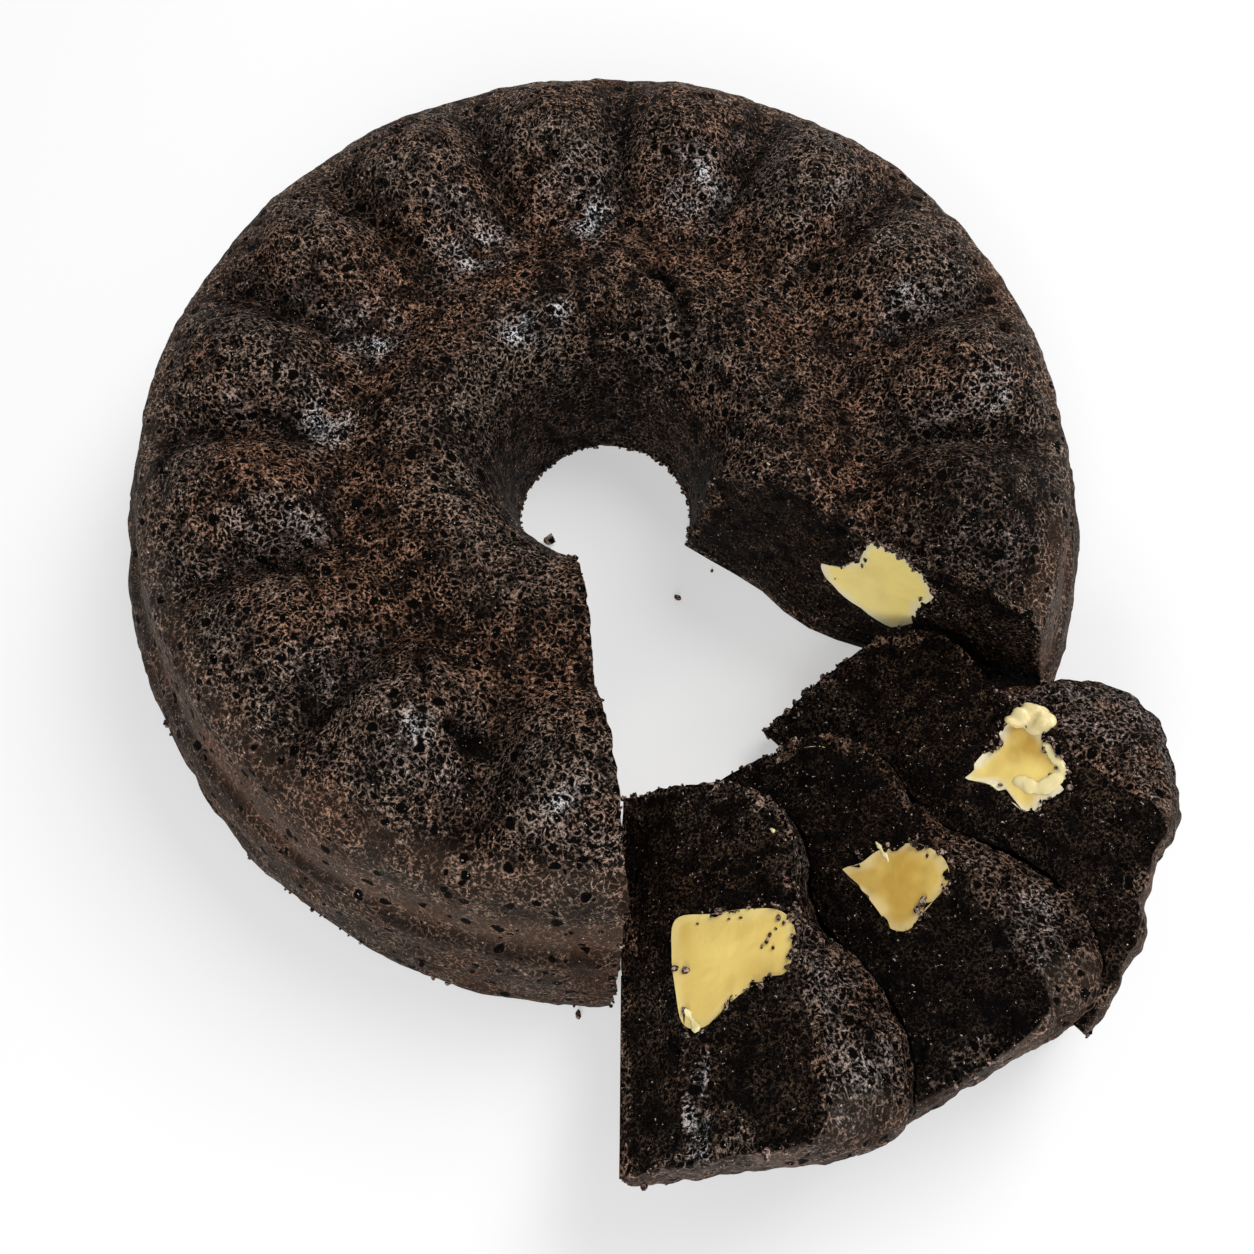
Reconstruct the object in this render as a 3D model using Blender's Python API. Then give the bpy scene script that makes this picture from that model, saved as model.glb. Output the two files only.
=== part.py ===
"""Black glutinous rice sponge cake: a fluted ring cake filled with custard.

Three slices are cut out of the front right of the ring. They are pushed outwards and lie toppled
on their sides, fanned against each other and against the ring's cut end. The origin is on the
table in the middle of the whole cake's length and width, +Z is up, and the slices lie towards -Y.
"""
import math

import bmesh
import bpy
from mathutils import Matrix, Vector

MM = 0.001                    # the sizes below are in millimetres, the meshes in metres

# Ring, in millimetres
RING_CENTRE = (-2.5, 15.9)    # from the middle of the whole cake's length and width
RING_RADIUS = 109.0           # outer radius at the table
SHOULDER_RADIUS = 98.3        # where the top turns down into the outer wall
OUT_OF_ROUND = 0.01           # share by which it is deeper than that and less wide
HOLE_RADIUS = 20.0            # hole radius at the table
CREST_HEIGHT = 41.0           # smooth inner ridge round the hole
CROWN_HEIGHT = 41.0           # top of the cake between two lobes
LOBE_HEIGHT = 9.5             # a lobe's top above the crown

# Lobes: each stands a little further from the last than that one did from its own neighbour
FIRST_LOBE = -12.0            # degrees
LOBE_PITCH = 21.9             # degrees
LOBE_SPREAD = 0.11            # degrees added with the square of the lobe's number
LOBE_COUNT = 13
LOBE_UNEVENNESS = 0.10        # how much one lobe's height differs from the next

# The cut gap: each side is a straight knife cut that leans
RIGHT_CUT_POINT = (21.6, -8.4)
RIGHT_CUT_HEADING = -31.3     # degrees
RIGHT_CUT_LEAN = 6.0          # degrees, away from the gap
LEFT_CUT_POINT = (3.3, -109.6)
LEFT_CUT_HEADING = -81.2      # degrees
LEFT_CUT_LEAN = 7.6           # degrees, over the gap
CUT_REACH = 140.0             # length of the cutter's sides past the hole

# The ring is swept past the gap's sides and then cut
SWEEP_START = -36.0           # degrees
SWEEP_END = 281.0             # degrees
RING_STEPS = 96

# Slices
SLICE_ANGLE = 19.7            # degrees from one cut face to the other
SLICE_STEPS = 8
SLICE_LOBE_CENTRE = 0.56      # where the lobe's top lies between the two cut faces
SLICE_SQUASH = 3.0            # how far the lower edge of the outer wall is pressed in

# Custard
FILLING_RADIUS = 64.5         # middle of the filling
FILLING_HEIGHT = 25.0
FILLING_HALF_WIDTH = 9.5
FILLING_HALF_DEPTH = 10.5
FILLING_STEPS = 44
FILLING_BLEND = 14.0          # degrees over which the filling takes the form seen at the cut
GAP = 0.3                     # clearance between pieces that touch

# Filling as seen at each cut: (radius, height) from the lowest inner point, clockwise
RING_CUT_FILLING = [(56.0, 15.5), (51.0, 21.5), (54.8, 24.0), (58.0, 31.0), (58.6, 37.0), (62.0, 38.4),
                    (67.0, 38.6), (72.0, 35.5), (75.0, 31.5), (73.4, 24.0), (74.0, 18.5), (69.5, 12.8)]
SLICE_1_FILLING = [(66.5, 23.0), (61.6, 20.8), (61.0, 25.0), (60.9, 29.5), (60.2, 34.5), (61.4, 37.2),
                   (66.0, 37.8), (71.0, 36.6), (75.8, 35.0), (77.4, 32.3), (76.6, 27.0), (74.8, 23.4)]
SLICE_2_FILLING = [(61.7, 19.2), (56.2, 17.6), (56.9, 21.8), (56.7, 26.3), (59.2, 32.6), (64.0, 35.8),
                   (68.6, 34.9), (70.8, 30.2), (72.0, 26.4), (73.0, 23.2), (71.0, 20.4), (67.0, 20.0)]
SLICE_3_FILLING = [(62.0, 11.9), (55.2, 13.0), (55.4, 20.5), (55.6, 27.5), (57.2, 34.0), (62.0, 36.4),
                   (69.0, 34.0), (70.9, 27.4), (73.6, 22.6), (77.0, 18.0), (76.0, 13.9), (69.3, 12.5)]

# Inner wall and ridge: distance past the hole's edge, and share of the ridge's height
INNER_WALL = [(0.0, 0.0), (1.0, 0.24), (2.2, 0.49), (4.5, 0.72), (8.5, 0.88), (14.0, 0.98), (20.0, 1.0),
              (26.0, 0.975)]
# Top from the groove to the shoulder: distance inside the shoulder, height against the crown
TOP = [(46.5, -2.6), (41.0, -2.8), (35.5, -1.8), (29.5, -0.8), (23.5, -0.2), (17.5, 0.0), (11.5, -0.3),
       (6.2, -0.8), (1.9, -2.6), (0.0, -8.0)]
# Shares of the lobe's height in those places, on the ring
RING_LOBE = [0.0, 0.28, 0.66, 0.92, 1.0, 0.92, 0.68, 0.40, 0.18, 0.0]
# Shares of the lobe on the slices in the same places: theirs stay high out to the shoulder
SLICE_LOBE = [0.0, 0.14, 0.42, 0.70, 0.88, 0.98, 1.0, 0.90, 0.60, 0.20]
SLICE_1_LOBE = [0.0, 0.36, 0.78, 0.98, 1.0, 0.94, 0.76, 0.50, 0.24, 0.02]
# Outer wall under the shoulder: share of the way from shoulder to base, share of the crown's height
OUTER_WALL = [(0.21, 0.68), (0.30, 0.60), (0.52, 0.54), (0.74, 0.36), (0.92, 0.14), (1.0, 0.0)]

# Each slice: the heading, topple and pitch in degrees, the place its ring centre moves to, its size
# against the ring, the tip's radius, the ridge's and crown's height, the radius at the shoulder and
# at the base, the lobe's height and its shares, and the filling at the cut face that shows
SLICES = [
    dict(name="slice_3", heading=-89.5, topple=23.0, pitch=16.0, place=(3.4, -46.0, 5.4), size=0.976,
         tip=24.0, crest=37.5, crown=40.0, shoulder=99.5, base=100.0,
         lobe=12.0, lobe_shares=SLICE_LOBE, filling=SLICE_3_FILLING),
    dict(name="slice_2", heading=-67.0, topple=23.5, pitch=17.0, place=(12.5, -46.5, 2.6), size=0.98,
         tip=24.0, crest=36.0, crown=40.0, shoulder=99.5, base=100.0,
         lobe=12.0, lobe_shares=SLICE_LOBE, filling=SLICE_2_FILLING),
    dict(name="slice_1", heading=-50.7, topple=19.7, pitch=18.0, place=(21.8, -38.0, 1.2), size=0.98,
         tip=22.0, crest=41.0, crown=41.0, shoulder=97.0, base=109.0,
         lobe=15.0, lobe_shares=SLICE_1_LOBE, filling=SLICE_1_FILLING),
]


def section(tip, crest, crown, shoulder, base, lobe, lobe_shares):
    """Closed outline of the cake at one angle, from the base's inner edge over the top."""
    inner = [(tip + out, crest * share) for out, share in INNER_WALL]
    upper = [(shoulder - inside, crown + rise + lobe * share)
             for (inside, rise), share in zip(TOP, lobe_shares)]
    outer = [(shoulder + (base - shoulder) * way, crown * share) for way, share in OUTER_WALL]
    return inner + upper + outer


def on_ring(angle, radius, height):
    """Point in millimetres at an angle in degrees round the ring."""
    turn = math.radians(angle)
    return Vector((radius * math.cos(turn), radius * math.sin(turn), height))


def lobe_angle(number):
    return FIRST_LOBE + LOBE_PITCH * number + LOBE_SPREAD * number * number


def lobe_form(place):
    """Share of a lobe's height at a place from -1, the valley before it, to 1, the valley after."""
    return max(0.0, 1.0 - abs(place) ** 2.4)


def ring_lobe(angle):
    """Height of the lobes above the valleys at one angle round the ring."""
    for number in range(-1, LOBE_COUNT + 1):
        centre = lobe_angle(number)
        before = (centre + lobe_angle(number - 1)) / 2
        after = (centre + lobe_angle(number + 1)) / 2
        if before <= angle <= after:
            half = centre - before if angle < centre else after - centre
            uneven = 1.0 + LOBE_UNEVENNESS * math.sin(2.4 * number)
            return LOBE_HEIGHT * uneven * lobe_form((angle - centre) / half)
    return 0.0


def loft(name, outlines, material, collection):
    """One closed solid through outlines of equal length, given in millimetres, with both ends capped."""
    mesh = bpy.data.meshes.new(name)
    form = bmesh.new()
    rows = [[form.verts.new(point * MM) for point in outline] for outline in outlines]
    for low, high in zip(rows, rows[1:]):
        for index in range(len(low)):
            after = (index + 1) % len(low)
            form.faces.new((low[index], low[after], high[after]))
            form.faces.new((low[index], high[after], high[index]))
    form.faces.new(reversed(rows[0]))
    form.faces.new(rows[-1])
    bmesh.ops.recalc_face_normals(form, faces=form.faces)
    form.to_mesh(mesh)
    form.free()
    body = bpy.data.objects.new(name, mesh)
    if material is not None:
        mesh.materials.append(material)
    collection.objects.link(body)
    return body


def grown(outline, amount):
    """A clockwise (radius, height) outline with every side moved outwards by the same amount."""
    points = [Vector(point) for point in outline]
    result = []
    for index, point in enumerate(points):
        before = (point - points[index - 1]).normalized()
        after = (points[(index + 1) % len(points)] - point).normalized()
        outwards = Vector((-before.y - after.y, before.x + after.x)).normalized()
        reach = amount / max(0.5, outwards.dot(Vector((-before.y, before.x))))
        result.append(tuple(point + outwards * reach))
    return result


def plain_filling(count):
    """Outline of the filling where no cut shows it, starting at its lowest inner point."""
    outline = []
    for index in range(count):
        turn = math.radians(-115.0 - 360.0 * index / count)
        outline.append((FILLING_RADIUS + FILLING_HALF_WIDTH * math.cos(turn),
                        FILLING_HEIGHT + FILLING_HALF_DEPTH * math.sin(turn)))
    return outline


def blended(first, second, share):
    return [(a[0] + (b[0] - a[0]) * share, a[1] + (b[1] - a[1]) * share) for a, b in zip(first, second)]


def make_material(name, colour, roughness):
    material = bpy.data.materials.new(name)
    material.use_nodes = True
    shader = material.node_tree.nodes["Principled BSDF"]
    shader.inputs["Base Color"].default_value = (*colour, 1.0)
    shader.inputs["Roughness"].default_value = roughness
    shader.inputs["Metallic"].default_value = 0.0
    return material


def make_collection(name):
    collection = bpy.data.collections.new(name)
    bpy.context.scene.collection.children.link(collection)
    return collection


def as_cutter(body):
    body.hide_render = True
    body.display_type = "WIRE"
    return body


def cut(body, cutter):
    """Takes the cutter's space out of the body and keeps the largest piece that is left."""
    modifier = body.modifiers.new("cut", "BOOLEAN")
    modifier.operation = "DIFFERENCE"
    modifier.solver = "EXACT"
    modifier.object = cutter
    bpy.context.view_layer.update()
    evaluated = body.evaluated_get(bpy.context.evaluated_depsgraph_get())
    mesh = bpy.data.meshes.new_from_object(evaluated)
    body.modifiers.clear()
    body.data = mesh
    drop_scraps(mesh)


def drop_scraps(mesh):
    """Joins points closer than a hundredth of a millimetre and deletes all but the largest piece."""
    form = bmesh.new()
    form.from_mesh(mesh)
    bmesh.ops.remove_doubles(form, verts=form.verts, dist=0.00001)
    bmesh.ops.dissolve_degenerate(form, edges=form.edges, dist=0.00001)
    bmesh.ops.triangulate(form, faces=form.faces)
    unseen = set(form.verts)
    pieces = []
    while unseen:
        piece = {unseen.pop()}
        front = list(piece)
        while front:
            vertex = front.pop()
            for edge in vertex.link_edges:
                other = edge.other_vert(vertex)
                if other in unseen:
                    unseen.discard(other)
                    piece.add(other)
                    front.append(other)
        pieces.append(piece)
    pieces.sort(key=len, reverse=True)
    scraps = [vertex for piece in pieces[1:] for vertex in piece]
    bmesh.ops.delete(form, geom=scraps, context="VERTS")
    form.to_mesh(mesh)
    form.free()


def clearance(body, cutters):
    """A copy of a body whose surface stands a little further out, to cut its neighbour clear of it."""
    copy = bpy.data.objects.new(body.name + "_clearance", body.data.copy())
    cutters.objects.link(copy)
    push = copy.modifiers.new("push", "DISPLACE")
    push.strength = 2 * GAP * MM
    push.mid_level = 0.0
    return as_cutter(copy)


def make_gap_cutter(cutters):
    """The space between the two knife cuts, from below the table to above the cake."""
    outlines = []
    for height in (-5.0, 70.0):
        sides = []
        for point, heading, lean in ((RIGHT_CUT_POINT, RIGHT_CUT_HEADING, RIGHT_CUT_LEAN),
                                     (LEFT_CUT_POINT, LEFT_CUT_HEADING, LEFT_CUT_LEAN)):
            turn = math.radians(heading)
            along = Vector((math.cos(turn), math.sin(turn), 0.0))
            across = Vector((-math.sin(turn), math.cos(turn), 0.0))
            shift = across * height * math.tan(math.radians(lean))
            start = Vector((point[0], point[1], height)) + shift
            reach = start.to_2d().length
            inside = start + along * (HOLE_RADIUS - 2.0 - reach)
            sides.append((inside, start + along * (CUT_REACH - reach)))
        (right_in, right_out), (left_in, left_out) = sides
        far = Vector((95.0, -165.0, height))
        middle = Vector((0.0, 0.0, height))
        outlines.append([middle, right_in, right_out, far, left_out, left_in])
    return as_cutter(loft("gap_cutter", outlines, None, cutters))


def make_ring(cake, custard, parts, cutters):
    """The ring and its custard, swept round and cut open. Returns the room that the ring needs."""
    outlines = []
    for step in range(RING_STEPS + 1):
        angle = SWEEP_START + (SWEEP_END - SWEEP_START) * step / RING_STEPS
        wide = 1.0 - OUT_OF_ROUND * math.cos(2 * math.radians(angle))
        profile = section(HOLE_RADIUS, CREST_HEIGHT, CROWN_HEIGHT, SHOULDER_RADIUS * wide,
                          RING_RADIUS * wide, ring_lobe(angle), RING_LOBE)
        outlines.append([on_ring(angle, radius, height) for radius, height in profile])
    ring = loft("ring", outlines, cake, parts)

    fillings = []
    channels = []
    plain = plain_filling(len(RING_CUT_FILLING))
    for step in range(FILLING_STEPS + 1):
        angle = SWEEP_START + (SWEEP_END - SWEEP_START) * step / FILLING_STEPS
        share = min(1.0, max(0.0, 1.0 - (angle - RIGHT_CUT_HEADING) / FILLING_BLEND))
        outline = blended(plain, RING_CUT_FILLING, share)
        fillings.append([on_ring(angle, radius, height) for radius, height in outline])
        channels.append([on_ring(angle, radius, height) for radius, height in grown(outline, GAP)])
    filling = loft("ring_custard", fillings, custard, parts)
    channel = as_cutter(loft("ring_channel", channels, None, cutters))
    gap_cutter = make_gap_cutter(cutters)
    cut(ring, gap_cutter)
    room = clearance(ring, cutters)
    cut(ring, channel)
    cut(filling, gap_cutter)
    return room


def slice_matrix(data):
    """Places a slice: its own ring centre, radius, turn and height become the toppled slice's."""
    heading = math.radians(data["heading"])
    topple = math.radians(data["topple"])
    pitch = math.radians(data["pitch"])
    out = Vector((math.cos(heading), math.sin(heading), 0.0))
    side = Vector((-math.sin(heading), math.cos(heading), 0.0))
    up = Vector((0.0, 0.0, 1.0))
    tilt = Matrix.Rotation(-pitch, 3, side)
    along = tilt @ out
    height = tilt @ (side * math.cos(topple) + up * math.sin(topple))
    turn = tilt @ (side * math.sin(topple) - up * math.cos(topple))
    basis = Matrix((along, turn, height)).transposed().to_4x4()
    return Matrix.Translation(Vector(data["place"]) * MM) @ basis @ Matrix.Scale(data["size"], 4)


def make_slice(data, cake, custard, parts, cutters):
    """One slice and its custard, made in a ring and then laid on its side. Returns both and their room."""
    outlines = []
    for step in range(SLICE_STEPS + 1):
        way = step / SLICE_STEPS
        side = SLICE_LOBE_CENTRE if way < SLICE_LOBE_CENTRE else 1.0 - SLICE_LOBE_CENTRE
        lobe = data["lobe"] * lobe_form((way - SLICE_LOBE_CENTRE) / side)
        squash = SLICE_SQUASH * way * way
        profile = section(data["tip"], data["crest"], data["crown"], data["shoulder"] - squash,
                          data["base"] - squash, lobe, data["lobe_shares"])
        outlines.append([on_ring(SLICE_ANGLE * way, radius, height) for radius, height in profile])
    body = loft(data["name"], outlines, cake, parts)

    plain = plain_filling(len(data["filling"]))
    fillings = []
    channels = []
    for way in (-0.1, 0.0, 0.3, 0.65, 1.0, 1.1):
        outline = blended(data["filling"], plain, min(1.0, max(0.0, way)))
        channels.append([on_ring(SLICE_ANGLE * way, radius, height) for radius, height in grown(outline, GAP)])
        if 0.0 <= way <= 1.0:
            fillings.append([on_ring(SLICE_ANGLE * way, radius, height) for radius, height in outline])
    filling = loft(data["name"] + "_custard", fillings, custard, parts)
    channel = as_cutter(loft(data["name"] + "_channel", channels, None, cutters))
    for piece in (body, filling, channel):
        piece.data.transform(slice_matrix(data))
    room = clearance(body, cutters)
    cut(body, channel)
    return body, filling, room


def make_cake():
    parts = make_collection("black_rice_sponge_cake")
    cutters = make_collection("cutters")
    cake = make_material("dark rice sponge", (0.018, 0.011, 0.008), 0.62)
    custard = make_material("custard filling", (0.78, 0.62, 0.22), 0.35)

    ring_room = make_ring(cake, custard, parts, cutters)
    made = [make_slice(data, cake, custard, parts, cutters) for data in SLICES]

    # A soft piece gives way where a neighbour presses on it: the one that lies over it keeps its form
    floor = make_floor_cutter(cutters)
    for index, (body, filling, _) in enumerate(made):
        rooms = [floor, ring_room] + [room for _, _, room in made[:index]]
        for room in rooms:
            cut(body, room)
            cut(filling, room)
    return parts


def make_floor_cutter(cutters):
    """Everything below the table."""
    bpy.ops.mesh.primitive_cube_add(size=1.0)
    floor = bpy.context.active_object
    floor.name = "below_table"
    floor.data.transform(Matrix.Translation((0.0, 0.0, -0.02)) @ Matrix.Diagonal((0.5, 0.5, 0.04, 1.0)))
    for collection in list(floor.users_collection):
        collection.objects.unlink(floor)
    cutters.objects.link(floor)
    return as_cutter(floor)


def main():
    for leftover in list(bpy.data.objects):
        bpy.data.objects.remove(leftover, do_unlink=True)
    for piece in make_cake().objects:
        piece.data.transform(Matrix.Translation(Vector((*RING_CENTRE, 0.0)) * MM))


main()
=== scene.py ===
"""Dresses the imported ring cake: its dark open crumb, its custard, its loose crumbs, floor and light.

Sizes are in millimetres until a mesh is made, and in the part's own frame: the origin on the table
in the middle of the whole cake, +Z up, and the toppled slices towards -Y.
"""

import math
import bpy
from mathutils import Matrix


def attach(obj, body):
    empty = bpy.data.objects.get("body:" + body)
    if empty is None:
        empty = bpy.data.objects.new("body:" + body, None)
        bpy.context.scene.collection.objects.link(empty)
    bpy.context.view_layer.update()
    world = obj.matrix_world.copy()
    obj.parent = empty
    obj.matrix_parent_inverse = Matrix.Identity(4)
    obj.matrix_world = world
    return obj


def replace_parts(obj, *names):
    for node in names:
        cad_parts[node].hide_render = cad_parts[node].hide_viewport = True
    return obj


bl_info = {
    "name": "Black Rice Ring Cake",
    "version": (1, 0, 0),
    "blender": (4, 5, 0),
    "location": "View3D > Sidebar > Ring Cake",
    "description": "Dresses a custard-filled ring cake of black glutinous rice sponge",
    "category": "Object",
}

import bmesh
import bpy
import numpy as np
from mathutils import Matrix, Vector

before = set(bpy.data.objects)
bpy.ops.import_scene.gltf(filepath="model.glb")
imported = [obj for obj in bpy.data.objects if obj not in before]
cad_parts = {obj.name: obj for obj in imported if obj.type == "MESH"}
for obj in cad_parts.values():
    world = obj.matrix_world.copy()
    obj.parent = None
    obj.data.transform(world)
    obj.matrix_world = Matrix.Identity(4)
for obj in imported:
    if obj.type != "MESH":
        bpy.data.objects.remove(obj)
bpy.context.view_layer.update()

MM = 0.001
RING_CENTRE = (-2.5, 15.9)    # the hole's axis, from the middle of the whole cake

# The ring, as in the solids
RING_RADIUS = 109.0
SHOULDER_RADIUS = 98.3
OUT_OF_ROUND = 0.01
HOLE_RADIUS = 20.0
CREST_HEIGHT = 41.0
CROWN_HEIGHT = 41.0
LOBE_HEIGHT = 9.5
FIRST_LOBE = -12.0
LOBE_PITCH = 21.9
LOBE_SPREAD = 0.11
LOBE_COUNT = 13
LOBE_UNEVENNESS = 0.10
LOBE_RHYTHM = 2.4             # radians by which that unevenness runs on from one lobe to the next
LOBE_FULLNESS = 2.4           # power that rounds a lobe's crown
VALLEY_ROUNDING = 0.10        # share of a half lobe over which its valley is rounded
OUT_OF_ROUND_RADII = (40.0, 90.0)   # none of it at the first, all of it at the second

# Knife cuts: a point on the table, the heading in degrees, the lean in degrees
RIGHT_CUT = ((21.6, -8.4), -31.3, 6.0)
LEFT_CUT = ((3.3, -109.6), -81.2, 7.6)
RING_SWEEP = 305.0            # degrees from cut to cut, for the filling

# Slices, as in the solids
SLICE_ANGLE = 19.7
SLICE_LOBE_CENTRE = 0.56
SLICE_SQUASH = 3.0            # how far the outer wall draws in at the face that it lies on
SLICE_SQUASH_RADII = (50.0, 98.0)
SLICE_CREASE_HEIGHT = 13.5    # below this a slice's face may lean back

# Inner wall and ridge: distance past the hole's edge, and share of the ridge's height
INNER_WALL = [(0.0, 0.0), (1.0, 0.24), (2.2, 0.49), (4.5, 0.72), (8.5, 0.88), (14.0, 0.98), (20.0, 1.0),
              (26.0, 0.975)]
# Top from the groove to the shoulder: distance inside the shoulder, height against the crown
TOP = [(46.5, -2.6), (41.0, -2.8), (35.5, -1.8), (29.5, -0.8), (23.5, -0.2), (17.5, 0.0), (11.5, -0.3),
       (6.2, -0.8), (1.9, -2.6), (0.0, -8.0)]
# Shares of the lobe's height in those places, on the ring
RING_LOBE = [0.0, 0.28, 0.66, 0.92, 1.0, 0.90, 0.60, 0.26, 0.06, 0.0]
# Shares of the lobe on the slices in the same places: theirs stay high out to the shoulder
SLICE_LOBE = [0.0, 0.14, 0.42, 0.70, 0.88, 0.98, 1.0, 0.90, 0.60, 0.20]
SLICE_1_LOBE = [0.0, 0.36, 0.78, 0.98, 1.0, 0.94, 0.76, 0.50, 0.24, 0.02]
# Outer wall under the shoulder: share of the way from shoulder to base, share of the crown's height
OUTER_WALL = [(0.21, 0.68), (0.30, 0.60), (0.52, 0.54), (0.74, 0.36), (0.92, 0.14), (1.0, 0.0)]

# Filling: plain form inside, and the outlines (radius, height) that the cuts show
FILLING_MIDDLE = (64.5, 25.0)
FILLING_HALF_SIZE = (9.5, 10.5)
FILLING_BLEND = 14.0          # degrees past the ring's right cut over which it turns plain
RING_CUT_FILLING = [(56.0, 15.5), (51.0, 21.5), (54.8, 24.0), (58.0, 31.0), (58.6, 37.0), (62.0, 38.4),
                    (67.0, 38.6), (72.0, 35.5), (75.0, 31.5), (73.4, 24.0), (74.0, 18.5), (69.5, 12.8)]
SLICE_1_FILLING = [(66.5, 23.0), (61.6, 20.8), (61.0, 25.0), (60.9, 29.5), (60.2, 34.5), (61.4, 37.2),
                   (66.0, 37.8), (71.0, 36.6), (75.8, 35.0), (77.4, 32.3), (76.6, 27.0), (74.8, 23.4)]
SLICE_2_FILLING = [(61.7, 19.2), (56.2, 17.6), (56.9, 21.8), (56.7, 26.3), (59.2, 32.6), (64.0, 35.8),
                   (68.6, 34.9), (70.8, 30.2), (72.0, 26.4), (73.0, 23.2), (71.0, 20.4), (67.0, 20.0)]
SLICE_3_FILLING = [(62.0, 11.9), (55.2, 13.0), (55.4, 20.5), (55.6, 27.5), (57.2, 34.0), (62.0, 36.4),
                   (69.0, 34.0), (70.9, 27.4), (73.6, 22.6), (77.0, 18.0), (76.0, 13.9), (69.3, 12.5)]

# lit: how bright each slice's cut face is painted; below 1 it is painted shade, as on slice 2, whose face
# lies in shade
SLICES = [
    dict(name="slice_3", heading=-89.5, topple=23.0, pitch=16.0, place=(3.4, -46.0, 5.4), size=0.976,
         tip=24.0, crest=37.5, crown=40.0, shoulder=99.5, base=100.0,
         lobe=12.0, lobe_shares=SLICE_LOBE, filling=SLICE_3_FILLING, crease=4.0, lit=1.0),
    dict(name="slice_2", heading=-67.0, topple=23.5, pitch=17.0, place=(12.5, -46.5, 2.6), size=0.98,
         tip=24.0, crest=36.0, crown=40.0, shoulder=99.5, base=100.0,
         lobe=12.0, lobe_shares=SLICE_LOBE, filling=SLICE_2_FILLING, crease=0.0, lit=0.5),
    dict(name="slice_1", heading=-50.7, topple=19.7, pitch=18.0, place=(21.8, -38.0, 1.2), size=0.98,
         tip=22.0, crest=41.0, crown=41.0, shoulder=97.0, base=109.0,
         lobe=15.0, lobe_shares=SLICE_1_LOBE, filling=SLICE_1_FILLING, crease=0.0, lit=0.95),
]

# Camera, fitted to the photograph: place from the ring's centre, look down, roll, and lens
CAMERA_PLACE = (5.5, -131.3, 255.9)
CAMERA_PITCH = 67.9           # degrees below the horizon
CAMERA_ROLL = 0.96            # degrees
CAMERA_LENS = 34.78           # on a sensor 36 wide
PHOTO_WIDTH = 1254            # pixels

SHARP_EDGE = 40.0             # degrees between two faces whose edge stays crisp


# Noise

def mixed(number):
    """Scrambles whole numbers, so that neighbours come out unlike."""
    number = (number ^ (number >> 15)) * 0x2C1B3C6D & 0xFFFFFFFF
    number = (number ^ (number >> 12)) * 0x297A2D39 & 0xFFFFFFFF
    return number ^ (number >> 15)


def cell_numbers(cells, seed, count):
    """Repeatable numbers from 0 to 1 for whole-numbered cells of space."""
    base = cells @ np.array([73856093, 19349663, 83492791]) + seed * 7919 & 0xFFFFFFFF
    return [mixed(base + 0x9E3779B1 * (index + 1) & 0xFFFFFFFF) / 0xFFFFFFFF for index in range(count)]


def smooth_noise(points, size, seed):
    """Soft noise from -1 to 1 whose hills are about that size apart."""
    scaled = points / size
    low = np.floor(scaled).astype(np.int64)
    part = scaled - low
    part = part * part * (3.0 - 2.0 * part)
    total = np.zeros(len(points))
    for corner in range(8):
        step = np.array([corner & 1, corner >> 1 & 1, corner >> 2 & 1])
        weight = np.prod(np.where(step == 1, part, 1.0 - part), axis=1)
        total += weight * cell_numbers(low + step, seed, 1)[0]
    return total * 2.0 - 1.0


def rough_noise(points, size, seed, octaves):
    total = np.zeros(len(points))
    for octave in range(octaves):
        total += smooth_noise(points, size / 2 ** octave, seed + octave) / 1.8 ** octave
    return total


def pits(points, spacing, small, large, seed, share):
    """Depth from 0 to 1 of round pits strewn through space, as bubbles that a surface cuts open."""
    low = np.floor(points / spacing).astype(np.int64)
    depth = np.zeros(len(points))
    for index in range(27):
        step = np.array([index % 3 - 1, index // 3 % 3 - 1, index // 9 - 1])
        cells = low + step
        x, y, z, size, present = cell_numbers(cells, seed, 5)
        middle = (cells + np.stack([x, y, z], axis=1)) * spacing
        radius = small + (large - small) * size ** 2
        inside = 1.0 - np.sum((points - middle) ** 2, axis=1) / radius ** 2
        depth = np.maximum(depth, np.where(present < share, inside, 0.0))
    return np.sqrt(np.clip(depth, 0.0, 1.0))


def ease(value, low, high):
    """0 below low, 1 above high, smooth between them."""
    part = np.clip((value - low) / (high - low), 0.0, 1.0)
    return part * part * (3.0 - 2.0 * part)


def spread(value, middle, half_width):
    """1 at the middle, falling off softly to both sides."""
    return np.exp(-((value - middle) / half_width) ** 2)


# Forms

def section(tip, crest, crown, shoulder, base, lobe_shares):
    """The cake's outline between two lobes from the base's inner edge over the top, with lobe shares."""
    inner = [(tip + out, crest * share, 0.0) for out, share in INNER_WALL]
    upper = [(shoulder - inside, crown + rise, share) for (inside, rise), share in zip(TOP, lobe_shares)]
    outer = [(shoulder + (base - shoulder) * way, crown * share, 0.0) for way, share in OUTER_WALL]
    return np.array(inner + upper + outer)


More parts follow.
